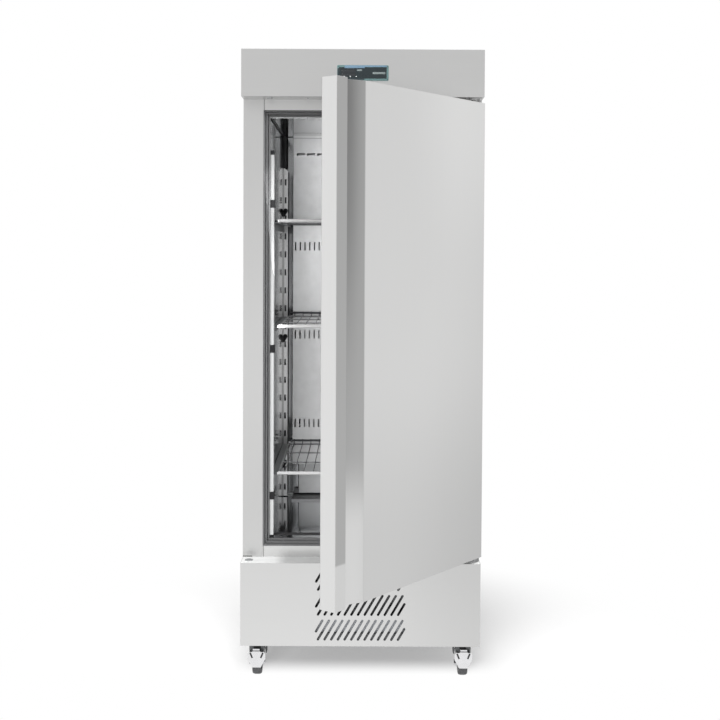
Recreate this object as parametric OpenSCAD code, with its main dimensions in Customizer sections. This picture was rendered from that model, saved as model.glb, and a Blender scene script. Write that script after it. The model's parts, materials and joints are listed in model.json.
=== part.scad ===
// Upright single-door catering freezer on castors, unit in the plinth.
// +X is the viewer's right, +Y points to the back, +Z is up. The origin is on the floor,
// in the centre of the width, straight below the back face.

/* [Cabinet] */
// Overall width
cab_w = 730; // [650:5:800]
// Overall depth with the door closed
cab_d = 824; // [740:2:880]
// Overall height
cab_h = 1927; // [1800:1:2100]
// Height of the plinth behind the grille
plinth_h = 254; // [244:1:300]
// Height of the fascia above the door
fascia_h = 142; // [120:1:180]
// Depth of the ledge in front of the door frame
ledge_d = 76; // [76:1:90]
// Thickness of the stainless steel sheet
sheet_t = 1; // [0.8:0.1:1.5]
// Length of a folded edge
fold = 18; // [12:1:24]
// Radius of a plug over a spare hinge hole
plug_r = 12.5; // [10:0.5:15]

/* [Walls] */
// Side wall from the outer face to the liner
side_wall = 81; // [78:1:90]
// Rear wall from the outer face to the liner
rear_wall = 64; // [50:1:80]
// Insulation above the ceiling of the liner
ceiling_wall = 75; // [50:1:90]
// Visible width of a front upright
stile_w = 62; // [58:1:66]
// Visible height of the rail below the door opening
bottom_rail_h = 34; // [30:1:44]
// Visible height of the rail above the door opening
top_rail_h = 32; // [28:1:40]
// Depth of the plastic breaker behind the frame face
breaker_d = 30; // [24:1:40]
// Height of the base pan's upstand
pan_h = 30; // [20:1:40]
// Front of the cabinet to the base pan
pan_in = 30; // [22:1:36]

/* [Door] */
// How far the door stands open
door_angle = 52.5; // [0:0.5:105]
// Gap between the door and the side of the cabinet
door_side_gap = 6; // [4:1:10]
// Gap between the door and the fascia or the ledge
door_end_gap = 13; // [12:1:18]
// How far the door face stays behind the fascia face
door_setback = 12; // [8:1:14]
// Thickness of the door without its gasket
door_t = 50; // [46:1:50]
// Hinge pin, inboard of the door edge
pin_in = 17; // [15:1:22]
// Hinge pin, behind the door face
pin_back = 23; // [20:1:27]
// Radius of the hinge pins
pin_r = 5; // [4:0.5:6]
// Wall of a hinge bush
bush_wall = 4; // [3:0.5:6]
// Width of the gasket
gasket_w = 15; // [12:1:15]
// Door edge to the outer edge of the gasket
gasket_in = 37; // [34:1:40]
// How far the panel inside the gasket is pressed in
plateau_h = 9; // [6:1:11]

/* [Door handle] */
// Width of the gripping lip along the free edge
lip_w = 44; // [38:1:50]
// Thickness of the gripping lip
lip_t = 12; // [8:1:14]
// Depth of the finger recess
recess_d = 32; // [28:1:36]
// Free edge to the end of the hidden pocket
pocket_x = 19; // [14:1:24]
// Free edge to the deepest line of the sloping wall
recess_foot = 50; // [48:1:60]
// Free edge to where the sloping wall meets the face
recess_end = 122; // [110:1:136]

/* [Grille] */
// Width of a slot
slot_w = 7.4; // [6:0.1:9]
// Slot to slot along a row
slot_pitch = 20.3; // [18:0.1:24]
// Sideways run of a whole slot
slot_run = 33.4; // [28:0.1:38]
// Rise of a whole slot, between the centres of its ends
slot_rise = 57.4; // [50:0.1:62]
// Slots in a row, the two short ones included
slots_in_row = 14; // [8:2:14]
// Number of rows
slot_rows = 3; // [1:1:3]
// Row to row
row_pitch = 76.4; // [74:0.1:80]
// Plinth edge to the middle of the lowest row
row_up = 49.7; // [44:0.1:60]

/* [Control panel] */
// Width of the bezel
bezel_w = 154; // [140:1:180]
// Height of the bezel
bezel_h = 46; // [42:1:60]
// How far the bezel stands out of the fascia
bezel_t = 3; // [2:0.5:5]
// Width of the bezel's frame
bezel_rim = 6; // [4:0.5:8]
// Radius of a membrane key
key_r = 4; // [3:0.5:5]
// Depth of the controller behind the fascia
controller_d = 55; // [40:1:65]

/* [Inside] */
// Height of the top shelf above the floor
shelf_z1 = 1420; // [1380:1:1440]
// Height of the middle shelf
shelf_z2 = 1090; // [1040:1:1120]
// Height of the bottom shelf
shelf_z3 = 628; // [590:1:660]
// Side of a shelf to the liner
shelf_side = 21; // [20:1:30]
// Front of the cabinet to the front of a shelf
shelf_front = 130; // [125:1:150]
// Radius of a shelf's front bar
bar_r = 4.5; // [4:0.5:6]
// Radius of a shelf's frame rods
rod_r = 3; // [2.5:0.5:4]
// Radius of a shelf's thin wires
wire_r = 1.5; // [1:0.25:2]
// Thin wire to thin wire
wire_pitch = 30; // [25:1:40]
// Width of a shelf runner's flange
runner_w = 26; // [24:1:30]
// Height of a shelf runner
runner_h = 24; // [18:1:32]
// Thickness of runners and uprights
strip_t = 1.5; // [1:0.25:2]
// Slot to slot on the shelf uprights
upright_pitch = 65; // [50:1:80]
// Width of an upright's face
upright_w = 17; // [16:1:19]
// Front of the cabinet to the front upright
front_upright_y = 140; // [136:1:170]
// Width of the lamp bar
lamp_w = 12; // [10:1:14]
// Depth of the lamp bar
lamp_d = 16; // [12:1:22]
// Ceiling to the top of the lamp bar
lamp_drop = 115; // [90:1:200]
// Side of the rear duct panel to the liner
duct_side = 37; // [30:1:44]
// Depth of the duct behind the panel
duct_d = 60; // [56:1:70]
// Floor of the liner to the lower edge of the duct panel
duct_up = 123; // [93:1:133]
// Depth of the drain trough
trough_d = 112; // [80:1:120]
// Height of the drain trough
trough_h = 6; // [5:1:20]

/* [Castors] */
// Overall height of a castor
castor_h = 120; // [118:1:130]
// Radius of a wheel
wheel_r = 37.5; // [34:0.5:38]
// Width of a tyre
wheel_w = 28; // [24:1:30]
// Radius of a wheel's axle bolt
axle_r = 5; // [4:0.5:6]
// Swivel axis to axle
trail = 30; // [24:1:32]
// Castor to the side of the cabinet
castor_in = 45; // [40:1:55]
// Swivel axis of the front castors behind the front
castor_front = 130; // [115:1:150]
// Swivel axis of the rear castors in front of the back
castor_rear = 95; // [90:1:120]
// Width of a castor's top plate
plate_w = 58; // [54:1:64]

/* [Cooling unit] */
// Height of the unit's tray above the base
tray_up = 50; // [44:1:56]
// Width of the unit's tray
tray_w = 500; // [480:5:540]
// Height of the tray's front upstand
upstand = 30; // [20:1:36]
// Width of the condenser
condenser_w = 260; // [240:5:270]
// Height of the condenser
condenser_h = 160; // [150:1:165]
// Depth of the condenser
condenser_d = 50; // [40:1:60]
// Radius of the condenser fan
cond_fan_r = 74; // [60:1:75]
// Radius of the compressor
compressor_r = 84; // [70:1:90]
// Height of the compressor
compressor_h = 168; // [150:1:176]
// Radius of the evaporator fan
evap_fan_r = 70; // [60:1:78]
// Radius of the copper pipes
pipe_r = 4; // [3:0.5:5]
// Depth of the evaporating tray
pan_d = 160; // [100:5:180]
// Height of the evaporating tray
pan_wall_h = 60; // [40:2:80]
// Edge of the unit's tray to the back
tray_back = 60; // [50:1:90]

/* [Clearances] */
// Radial clearance of a pin in its bush
fit = 0.05; // [0.02:0.01:0.08]
// Gap between pieces that move past each other
gap = 0.3; // [0.2:0.1:0.6]

/* [Hidden] */

$fn = 48;
cut = 1; // how far a cutting shape runs past the faces that it cuts

half_w = cab_w / 2;
front_y = -cab_d;
frame_y = front_y + ledge_d;
plinth_top = castor_h + plinth_h;
fascia_bottom = cab_h - fascia_h;
open_x = half_w - stile_w;
open_z0 = plinth_top + bottom_rail_h;
open_z1 = fascia_bottom - top_rail_h;
splay = side_wall - stile_w;
liner_x = half_w - side_wall;
floor_z = open_z0 + splay;
ceiling_z = open_z1 - splay;
liner_front = frame_y + breaker_d;
foam_top = ceiling_z + ceiling_wall;

door_y = front_y + door_setback;
door_back = door_y + door_t;
door_x = half_w - door_side_gap;
door_z0 = plinth_top + door_end_gap;
door_z1 = fascia_bottom - door_end_gap;
door_h = door_z1 - door_z0;
pin_x = door_x - pin_in;
pin_y = door_y + pin_back;
bush_r = pin_r + fit + bush_wall;
bush_len = 22;
bush_flange = 2;

handle_path = [
    [-door_x, door_back],
    [-door_x, door_y],
    [-door_x + lip_w, door_y],
    [-door_x + lip_w, door_y + lip_t],
    [-door_x + pocket_x, door_y + lip_t],
    [-door_x + pocket_x, door_y + recess_d],
    [-door_x + recess_foot, door_y + recess_d],
    [-door_x + recess_end, door_y],
    [door_x, door_y],
    [door_x, door_back]];

duct_y = -rear_wall - duct_d;
duct_w = 2 * (liner_x - duct_side);
duct_bottom = floor_z + duct_up;
duct_h = ceiling_z - duct_bottom;
shelf_w = 2 * (liner_x - shelf_side);
shelf_y = front_y + shelf_front;
shelf_back = duct_y - 3;
lamp_top = ceiling_z - lamp_drop;
lamp_foot = floor_z + 8;
upright_y = duct_y + 20;
upright_top = lamp_top - 1;
upright_foot = floor_z + 3;
lamp_y = liner_front + 2;
front_strip_y = front_y + front_upright_y;
shelf_heights = [shelf_z1, shelf_z2, shelf_z3];
knob_heights = [shelf_z1 + 1.9 * runner_h, shelf_z2 - 3.3 * runner_h, shelf_z3 - 3.1 * runner_h];
clip_heights = [for (s = [0.872, 0.492, 0.104]) lamp_foot + s * (lamp_top - lamp_foot)];

tray_z = castor_h + 2 * sheet_t + tray_up;
condenser_x0 = 90 - condenser_w;
condenser_y = front_y + 64;
shroud_y = condenser_y + condenser_d;
cond_fan_x = condenser_x0 + condenser_w / 2;
cond_fan_z = tray_z + condenser_h / 2;
cond_fan_y = shroud_y + 14;
compressor_x = 110;
compressor_y = -330;
evap_fan_z = ceiling_z - 234;
coil_z0 = duct_bottom + 90;
coil_h = duct_h * 0.473;

castor_axis_x = half_w - castor_in;
castor_front_y = front_y + castor_front;
castor_rear_y = -castor_rear;
head_z = castor_h - 8;
crown_t = 7;
crown_r = 27;
kingpin_r = 6;
cheek_t = 3;
hub_w = wheel_w + 4;
cheek_in = hub_w / 2 + 1;

// Unit vector at right angles to a line, to its left
function left_of(a, b) = let (d = b - a, n = norm(d)) [-d[1] / n, d[0] / n];

// Where a bend of a sheet lies on its other side: the mitre of the two runs that meet at q
function mitre(p, q, r, t) = let (
    m = left_of(p, q),
    n = left_of(q, r)
) q + (m + n) * t / (1 + m * n);

// An open outline moved to its left by t
function beside(path, t) = let (last = len(path) - 1) [
    for (i = [0:last])
        i == 0 ? path[0] + left_of(path[0], path[1]) * t :
        i == last ? path[last] + left_of(path[last - 1], path[last]) * t :
        mitre(path[i - 1], path[i], path[i + 1], t)];

function backwards(path) = [for (i = [len(path) - 1:-1:0]) path[i]];

// A strip of sheet bent along an outline, its thickness to the left of the outline
module bent_strip(path, t = sheet_t) {
    polygon(concat(path, backwards(beside(path, t))));
}

module box(low, high) {
    translate(low) cube(high - low);
}

// Extrudes a Y-Z outline along X
module along_x(x0, x1) {
    translate([x0, 0, 0]) rotate([90, 0, 90]) linear_extrude(x1 - x0) children();
}

// Extrudes an X-Z outline along Y
module along_y(y0, y1) {
    translate([0, y1, 0]) rotate([90, 0, 0]) linear_extrude(y1 - y0) children();
}

// Bar with round ends between two points of a plane
module round_slot(a, b, w) {
    d = b - a;
    translate(a) rotate(atan2(d[1], d[0])) {
        translate([0, -w / 2]) square([norm(d), w]);
        circle(d = w, $fn = 24);
        translate([norm(d), 0]) circle(d = w, $fn = 24);
    }
}

module both_sides() {
    children();
    mirror([1, 0, 0]) children();
}

// One side of a rectangular frame, mitred at both ends. The outline's x runs inwards.
module mitred_side(length, band, depth, y0) {
    intersection() {
        linear_extrude(length) children();
        along_y(y0 - cut, y0 + depth + cut)
            polygon([[0, gap / 2], [0, length - gap / 2], [band, length - band - gap / 2],
                [band, band + gap / 2]]);
    }
}

// Body panels

module side_panel() {
    color("gainsboro")
    translate([0, 0, plinth_top])
    linear_extrude(cab_h - sheet_t - plinth_top)
    bent_strip([
        [-half_w + fold, 0],
        [-half_w, 0],
        [-half_w, frame_y],
        [-open_x, frame_y],
        [-open_x, frame_y + fold]]);
}

module side_panel_left() side_panel();
module side_panel_right() mirror([1, 0, 0]) side_panel();

module rear_panel() {
    inner = half_w - fold - gap;
    color("silver") box([-inner, -sheet_t, plinth_top], [inner, 0, cab_h - sheet_t]);
}

// Lid with a flange that drops inside the side and rear panels
module roof_panel() {
    flange_y = frame_y + fold + sheet_t;
    flange_x = half_w - sheet_t;
    color("silver") difference() {
        union() {
            box([-half_w, frame_y, cab_h - sheet_t], [half_w, 0, cab_h]);
            box([-flange_x, flange_y, cab_h - fold], [flange_x, -sheet_t, cab_h - sheet_t]);
        }
        box([-flange_x + sheet_t, flange_y + sheet_t, cab_h - fold - cut],
            [flange_x - sheet_t, -2 * sheet_t, cab_h - sheet_t]);
    }
}

// The foam is in five slabs, so that each wall is a solid of its own
module cabinet_insulation() {
    side_x = half_w - sheet_t;
    in_x = liner_x + sheet_t;
    y0 = liner_front;
    back_y = -rear_wall + sheet_t;
    z0 = plinth_top;
    color("khaki") {
        both_sides() box([-side_x, y0, z0], [-in_x, -sheet_t, foam_top]);
        box([-in_x + gap, y0, z0], [in_x - gap, back_y - gap, floor_z - sheet_t]);
        box([-in_x + gap, y0, ceiling_z + sheet_t], [in_x - gap, back_y - gap, foam_top]);
        box([-in_x + gap, back_y, z0], [in_x - gap, -sheet_t, foam_top]);
    }
}

module liner() {
    color("lightgray") difference() {
        box([-liner_x - sheet_t, liner_front, floor_z - sheet_t],
            [liner_x + sheet_t, -rear_wall + sheet_t, ceiling_z + sheet_t]);
        box([-liner_x, liner_front - cut, floor_z], [liner_x, -rear_wall, ceiling_z]);
    }
}

// Bottom and top rails of the door frame, folded along both edges
module door_frame_rails() {
    rail_back = frame_y + fold;
    color("gainsboro") {
        along_x(-open_x, open_x) bent_strip([
            [rail_back, plinth_top],
            [frame_y, plinth_top],
            [frame_y, open_z0],
            [rail_back, open_z0]], -sheet_t);
        along_x(-open_x, open_x) bent_strip([
            [rail_back, open_z1],
            [frame_y, open_z1],
            [frame_y, foam_top],
            [rail_back, foam_top]], -sheet_t);
    }
}

// Stepped section of the breaker: x runs inwards from the opening's edge, y backwards
module breaker_section() {
    d = breaker_d;
    s = splay;
    translate([0, frame_y]) polygon([
        [0, 1], [s * 0.25, 1], [s * 0.38, d * 0.36], [s * 0.62, d * 0.36],
        [s * 0.75, d * 0.72], [s, d * 0.72], [s, d], [0, d]]);
}

module thermal_breaker() {
    open_h = open_z1 - open_z0;
    color("dimgray") {
        both_sides() translate([-open_x, 0, open_z0])
            mitred_side(open_h, splay, breaker_d, frame_y) breaker_section();
        translate([-open_x, 0, open_z1]) rotate([0, 90, 0])
            mitred_side(2 * open_x, splay, breaker_d, frame_y) breaker_section();
        translate([-open_x, 0, open_z0]) mirror([0, 0, 1]) rotate([0, 90, 0])
            mitred_side(2 * open_x, splay, breaker_d, frame_y) breaker_section();
    }
}

// Fascia with its control panel

module fascia() {
    color("gainsboro") difference() {
        box([-half_w, front_y, fascia_bottom], [half_w, frame_y, cab_h]);
        box([-half_w + sheet_t, front_y + sheet_t, fascia_bottom + sheet_t],
            [half_w - sheet_t, frame_y + cut, cab_h - sheet_t]);
        controller_cut_out();
    }
}

bezel_z = fascia_bottom + fascia_h / 2;
window_w = bezel_w - 2 * bezel_rim;
window_h = bezel_h - 2 * bezel_rim;
controller_w = window_w - 16;
controller_h = window_h - 8;

module controller_cut_out() {
    box([-controller_w / 2 - gap, front_y - cut, bezel_z - controller_h / 2 - gap],
        [controller_w / 2 + gap, front_y + sheet_t + cut, bezel_z + controller_h / 2 + gap]);
}

module rounded_plate(w, h, r) {
    square([w - 2 * r, h], center = true);
    square([w, h - 2 * r], center = true);
    for (x = [-1, 1], z = [-1, 1])
        translate([x * (w / 2 - r), z * (h / 2 - r)]) circle(r = r, $fn = 24);
}

module control_bezel() {
    color("teal") along_y(front_y - bezel_t, front_y) translate([0, bezel_z]) difference() {
        rounded_plate(bezel_w, bezel_h, 3);
        square([window_w, window_h], center = true);
    }
}

// Dark overlay with a display window at the left and four keys at the right
module control_overlay() {
    face_y = front_y - bezel_t + 1;
    display_w = window_w * 0.3;
    key_x = [for (i = [0:3]) -4 + i * 3 * key_r];
    color("darkslategray") {
        difference() {
            box([-window_w / 2, face_y, bezel_z - window_h / 2],
                [window_w / 2, front_y, bezel_z + window_h / 2]);
            box([-window_w / 2 + 6, face_y - cut, bezel_z - window_h * 0.3],
                [-window_w / 2 + 6 + display_w, face_y + 0.6, bezel_z + window_h * 0.3]);
        }
        for (x = key_x)
            along_y(face_y - 0.4, face_y) translate([x, bezel_z - 2]) circle(r = key_r);
    }
}

module controller_box() {
    color("black")
        box([-controller_w / 2, front_y, bezel_z - controller_h / 2],
            [controller_w / 2, front_y + controller_d, bezel_z + controller_h / 2]);
}

// Plinth

// One row of slanted slots: the slots at both ends are cut short at the pattern's edge
module slot_row() {
    edge = (slots_in_row / 2 - 0.5) * slot_pitch + 2.3;
    slope = slot_rise / slot_run;
    for (i = [0:slots_in_row - 1]) {
        mid = (i - (slots_in_row - 1) / 2) * slot_pitch;
        x0 = max(mid - slot_run / 2, -edge);
        x1 = min(mid + slot_run / 2, edge);
        round_slot([x0, (x0 - mid) * slope], [x1, (x1 - mid) * slope], slot_w);
    }
}

module plinth_front() {
    color("gainsboro") difference() {
        translate([0, 0, castor_h]) linear_extrude(plinth_h) bent_strip([
            [half_w, front_y + fold],
            [half_w, front_y],
            [-half_w, front_y],
            [-half_w, front_y + fold]], -sheet_t);
        along_y(front_y - cut, front_y + sheet_t + cut)
            for (i = [0:slot_rows - 1])
                translate([0, castor_h + row_up + i * row_pitch]) slot_row();
    }
}

module plinth_sides() {
    color("gainsboro") both_sides()
        translate([0, 0, castor_h]) linear_extrude(plinth_h) bent_strip([
            [-half_w + fold, 0],
            [-half_w, 0],
            [-half_w, front_y + fold]]);
}

// Deck under the cabinet. Its front is the ledge below the door.
module plinth_deck() {
    in_x = half_w - sheet_t;
    color("gainsboro") along_x(-in_x, in_x) bent_strip([
        [front_y + sheet_t, plinth_top - fold],
        [front_y + sheet_t, plinth_top],
        [-sheet_t, plinth_top]], -sheet_t);
}

inlet_x = half_w - fold - gap - 40;
inlet_z = castor_h + pan_h + 16;
inlet_r = 8;

module rear_grille() {
    inner = half_w - fold - gap;
    slot_l = 150;
    color("silver") difference() {
        box([-inner, -sheet_t, castor_h], [inner, 0, plinth_top - sheet_t]);
        along_y(-sheet_t - cut, cut) for (x = [-1, 1], i = [0:8])
            translate([x * inner * 0.4 - slot_l / 2, castor_h + 60 + i * 16])
                round_slot([0, 0], [slot_l, 0], 5);
        along_y(-sheet_t - cut, cut) translate([inlet_x, inlet_z]) circle(r = inlet_r + fit);
    }
}

// Cable gland, flush with the back, its nut inside
module mains_inlet() {
    color("black") translate([inlet_x, 0, inlet_z]) rotate([90, 0, 0]) difference() {
        union() {
            cylinder(r = inlet_r, h = 16);
            translate([0, 0, sheet_t]) cylinder(r = inlet_r + 4, h = 6);
        }
        translate([0, 0, -cut]) cylinder(r = inlet_r - 4, h = 16 + 2 * cut);
    }
}

module base_pan() {
    pan_front = front_y + pan_in;
    in_x = half_w - sheet_t;
    t = 2 * sheet_t;
    color("dimgray") difference() {
        box([-in_x, pan_front, castor_h], [in_x, -sheet_t, castor_h + pan_h]);
        box([-in_x + t, pan_front + t, castor_h + t],
            [in_x - t, -sheet_t - t, castor_h + pan_h + cut]);
    }
}

// Tray that carries the compressor and the condenser, with a skirt and a front upstand
module unit_tray() {
    t = 2 * sheet_t;
    y0 = condenser_y - 26;
    y1 = -tray_back;
    color("lightsteelblue") {
        difference() {
            box([-tray_w / 2, y0, castor_h + t], [tray_w / 2, y1, tray_z]);
            box([-tray_w / 2 + t, y0 + t, castor_h + t - cut], [tray_w / 2 - t, y1 - t, tray_z - t]);
        }
        box([-tray_w / 2, y0, tray_z], [tray_w / 2, y0 + t, tray_z + upstand]);
    }
}

// Hinges

module at_pin() {
    translate([pin_x, pin_y, 0]) children();
}

module hinge_bracket_top() {
    plate_t = 5;
    z0 = fascia_bottom - plate_t;
    color("silver") {
        difference() {
            union() {
                box([pin_x - 18, pin_y, z0], [pin_x + 18, frame_y, fascia_bottom]);
                at_pin() translate([0, 0, z0]) cylinder(r = 18, h = plate_t);
                box([pin_x - 18, frame_y - 4, z0 - 16], [pin_x + 18, frame_y, fascia_bottom]);
            }
            for (x = [-9, 9])
                along_y(frame_y - 4 - cut, frame_y + cut) translate([pin_x + x, z0 - 8]) circle(r = 2.5);
        }
        at_pin() translate([0, 0, door_z1 - bush_len + 2]) cylinder(r = pin_r, h = z0 - door_z1 + bush_len - 2);
    }
}

module hinge_block_bottom() {
    top = door_z0 - bush_flange - gap;
    color("dimgray") {
        box([pin_x - 18, pin_y, plinth_top], [half_w - 2, frame_y, top]);
        at_pin() translate([0, 0, plinth_top]) cylinder(r = 18, h = top - plinth_top);
        at_pin() translate([0, 0, top]) cylinder(r = pin_r, h = door_z0 + bush_len - 2 - top);
    }
}

// Plugs over the spare hinge holes and two screws under the fascia
module blanking_plugs() {
    color("gray") {
        translate([-pin_x, pin_y, plinth_top]) {
            cylinder(r = plug_r, h = 1.5 * sheet_t);
            translate([0, 0, 1.5 * sheet_t]) cylinder(r1 = plug_r, r2 = plug_r - 2 * sheet_t, h = sheet_t);
        }
        translate([-pin_x + 61, pin_y, fascia_bottom - 2 * sheet_t])
            cylinder(r = plug_r * 0.64, h = 2 * sheet_t);
        translate([-pin_x + 176, pin_y, fascia_bottom - 2 * sheet_t])
            cylinder(r = plug_r * 0.24, h = 2 * sheet_t);
    }
}

// Things inside the liner

module rear_upright() {
    difference() {
        translate([0, 0, upright_foot]) linear_extrude(upright_top - upright_foot) bent_strip([
            [-liner_x + upright_w, upright_y],
            [-liner_x, upright_y],
            [-liner_x, -rear_wall - 8]], -strip_t);
        for (z = [upright_top - 50:-upright_pitch:upright_foot + 20])
            box([-liner_x + 5, upright_y - cut, z - 11], [-liner_x + 12, upright_y + strip_t + cut, z + 11]);
        along_y(upright_y - cut, upright_y + strip_t + cut) polygon([
            [-liner_x + 4, upright_top + cut],
            [-liner_x + upright_w + cut, upright_top + cut],
            [-liner_x + upright_w + cut, upright_top - 12]]);
    }
}

module front_upright() {
    difference() {
        box([-liner_x, front_strip_y, upright_foot], [-liner_x + strip_t, front_strip_y + 26, upright_top]);
        for (z = [upright_top - 50:-upright_pitch:upright_foot + 20])
            box([-liner_x - cut, front_strip_y + 10, z - 9],
                [-liner_x + strip_t + cut, front_strip_y + 16, z + 9]);
    }
}

module shelf_uprights() {
    color("lightgray") both_sides() {
        rear_upright();
        front_upright();
    }
}

module upright_knobs() {
    color("black") both_sides() for (z = knob_heights)
        translate([-liner_x, upright_y, z]) rotate([90, 0, 0]) {
            translate([8.5, 0, 0]) cylinder(r = 8, h = 6);
            linear_extrude(6) polygon([[0.5, 0], [0.5, -21], [4, -21], [15.4, -4], [8.5, 0]]);
            translate([8.5, 0, 6]) cylinder(r1 = 8, r2 = 5, h = 3);
        }
}

runner_x = liner_x - strip_t;

module runner(z) {
    top = z - bar_r - rod_r - gap;
    along_y(shelf_y + 2 * bar_r + 2, upright_y - gap) bent_strip([
        [-runner_x, top - runner_h],
        [-runner_x, top],
        [-runner_x + runner_w, top],
        [-runner_x + runner_w, top - 6]], -strip_t);
}

module shelf_runners() {
    color("gray") both_sides() for (z = shelf_heights) runner(z);
}

module lamp_bar() {
    color("white") translate([-liner_x, lamp_y, lamp_foot]) {
        linear_extrude(lamp_top - lamp_foot) {
            translate([0, 3]) square([lamp_w, lamp_d - 3]);
            translate([0, 0]) square([lamp_w - 3, 3]);
            translate([lamp_w - 3, 3]) circle(r = 3, $fn = 24);
        }
    }
}

// Clips round the lamp bar, and its end fittings
module lamp_clips() {
    grip = 2;
    color("black") {
        for (z = clip_heights) difference() {
            box([-liner_x, lamp_y - grip, z - 12], [-liner_x + lamp_w + grip, lamp_y + lamp_d + grip, z + 12]);
            box([-liner_x - cut, lamp_y - gap, z - 12 - cut],
                [-liner_x + lamp_w + gap, lamp_y + lamp_d + gap, z + 12 + cut]);
        }
        box([-liner_x, lamp_y, lamp_top], [-liner_x + lamp_w - 2, lamp_y + lamp_d, lamp_top + 14]);
        box([-liner_x, lamp_y, floor_z], [-liner_x + lamp_w, lamp_y + lamp_d, lamp_foot]);
    }
}

// Three rings of slots in front of the evaporator fan, broken by eight spokes
module fan_guard_slots() {
    difference() {
        union() for (r = [0.3, 0.53, 0.76]) difference() {
            circle(r = evap_fan_r * (r + 0.16));
            circle(r = evap_fan_r * r);
        }
        for (a = [0:45:135]) rotate(a) square([2 * evap_fan_r, 5], center = true);
    }
}

module duct_panel() {
    half = duct_w / 2;
    slot_zs = [for (s = [0.6655, 0.397, 0.1258]) duct_bottom + s * duct_h];
    louvre_z = ceiling_z - 67;
    louvre_n = 13;
    louvre_pitch = duct_w / 13.46;
    slot_n = 29;
    vent_pitch = duct_w / 29.06;
    color("whitesmoke") difference() {
        translate([0, 0, duct_bottom]) linear_extrude(ceiling_z - duct_bottom) bent_strip([
            [-half, -rear_wall],
            [-half, duct_y],
            [half, duct_y],
            [half, -rear_wall]]);
        along_y(duct_y - cut, duct_y + sheet_t + cut) {
            for (i = [0:louvre_n - 1])
                translate([(i - (louvre_n - 1) / 2) * louvre_pitch - 14.5, louvre_z - 5])
                    square([29, 10]);
            for (z = slot_zs, i = [0:slot_n - 1])
                translate([(i - (slot_n - 1) / 2) * vent_pitch - 2.5, z - 15]) square([5, 30]);
            translate([0, evap_fan_z]) fan_guard_slots();
        }
    }
}

module evaporator_coil() {
    core_x = duct_w / 2 - 34;
    y0 = duct_y + 8;
    y1 = -rear_wall - 6;
    bend_r = 12;
    color("silver") {
        box([-core_x, y0, coil_z0], [core_x, y1, coil_z0 + coil_h]);
        both_sides() box([-core_x - 2, y0 - 2, coil_z0 - 6], [-core_x, -rear_wall, coil_z0 + coil_h + 6]);
        both_sides() for (i = [0:7])
            translate([-core_x - 2, (y0 + y1) / 2, coil_z0 + 40 + i * 68])
                rotate([90, 0, 0]) rotate([0, 0, 90])
                    rotate_extrude(angle = 180) translate([bend_r, 0]) circle(r = 4, $fn = 20);
    }
}

// Fans: a hub on a shaft, with tilted blades
module fan_rotor(r, hub_r, hub_h, blades, bore_r) {
    blade_t = 1.6;
    tilt = 32;
    difference() {
        union() {
            cylinder(r = hub_r, h = hub_h);
            for (i = [0:blades - 1]) rotate([0, 0, i * 360 / blades])
                translate([0, 0, hub_h / 2]) rotate([tilt, 0, 0]) translate([0, 0, -blade_t / 2])
                    linear_extrude(blade_t) intersection() {
                        polygon([[hub_r * 0.7, -hub_r * 0.3], [r, -r * 0.36], [r, r * 0.2], [hub_r * 0.7, hub_r * 0.3]]);
                        circle(r = r);
                    }
        }
        translate([0, 0, -cut]) cylinder(r = bore_r, h = hub_h - 4 + cut);
    }
}

shaft_r = 3;
hub_h = 16;

// Square frame of the evaporator fan with the motor on three struts behind the rotor
module evaporator_fan_frame() {
    w = 2 * evap_fan_r + 12;
    depth = 34;
    color("dimgray") translate([0, duct_y + sheet_t, evap_fan_z]) rotate([-90, 0, 0]) {
        difference() {
            translate([-w / 2, -w / 2, 0]) cube([w, w, depth]);
            translate([0, 0, -cut]) cylinder(r = evap_fan_r + 2, h = depth + 2 * cut);
        }
        for (a = [90, 210, 330]) rotate([0, 0, a])
            translate([0, -4, depth - 4]) cube([evap_fan_r + 4, 8, 4]);
        translate([0, 0, 8 + hub_h + gap]) cylinder(r = 22, h = depth - 8 - hub_h - gap);
        translate([0, 0, 14]) cylinder(r = shaft_r, h = depth - 14);
    }
}

module evaporator_fan() {
    color("black") translate([0, duct_y + sheet_t + 8 + hub_h, evap_fan_z]) rotate([90, 0, 0])
        fan_rotor(evap_fan_r - 2, 24, hub_h, 7, shaft_r + fit);
}

module drain_trough() {
    y1 = -rear_wall - 3;
    y0 = y1 - trough_d;
    x = duct_w / 2;
    wall = 2 * sheet_t;
    color("dimgray") difference() {
        box([-x, y0, floor_z], [x, y1, floor_z + trough_h]);
        box([-x + wall, y0 + wall, floor_z + wall], [x - wall, y1 - wall, floor_z + trough_h + cut]);
    }
}

module air_probe() {
    x = duct_w / 2 - 40;
    z0 = evap_fan_z + 60;
    color("white") {
        translate([x, duct_y - 6, z0]) cylinder(r = 3, h = 50);
        for (z = [z0 + 6, z0 + 38]) box([x - 5, duct_y - 6, z], [x + 5, duct_y, z + 6]);
    }
}

// Cooling unit

module compressor() {
    foot_h = 16;
    body_h = compressor_h - foot_h;
    color("black") translate([compressor_x, compressor_y, tray_z]) {
        for (x = [-1, 1], y = [-1, 1]) translate([x * 60, y * 50, 0]) cylinder(r = 10, h = foot_h);
        translate([-74, -64, foot_h]) cube([148, 128, 3]);
        translate([0, 0, foot_h]) rotate_extrude() polygon([
            [0, 0], [compressor_r * 0.8, 0], [compressor_r, body_h * 0.12], [compressor_r, body_h * 0.46],
            [compressor_r + 3, body_h * 0.47], [compressor_r + 3, body_h * 0.5],
            [compressor_r, body_h * 0.51], [compressor_r, body_h * 0.72],
            [compressor_r * 0.9, body_h * 0.88], [compressor_r * 0.62, body_h * 0.98], [0, body_h]]);
        translate([compressor_r - 6, -24, foot_h + 40]) cube([30, 48, 56]);
    }
}

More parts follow.
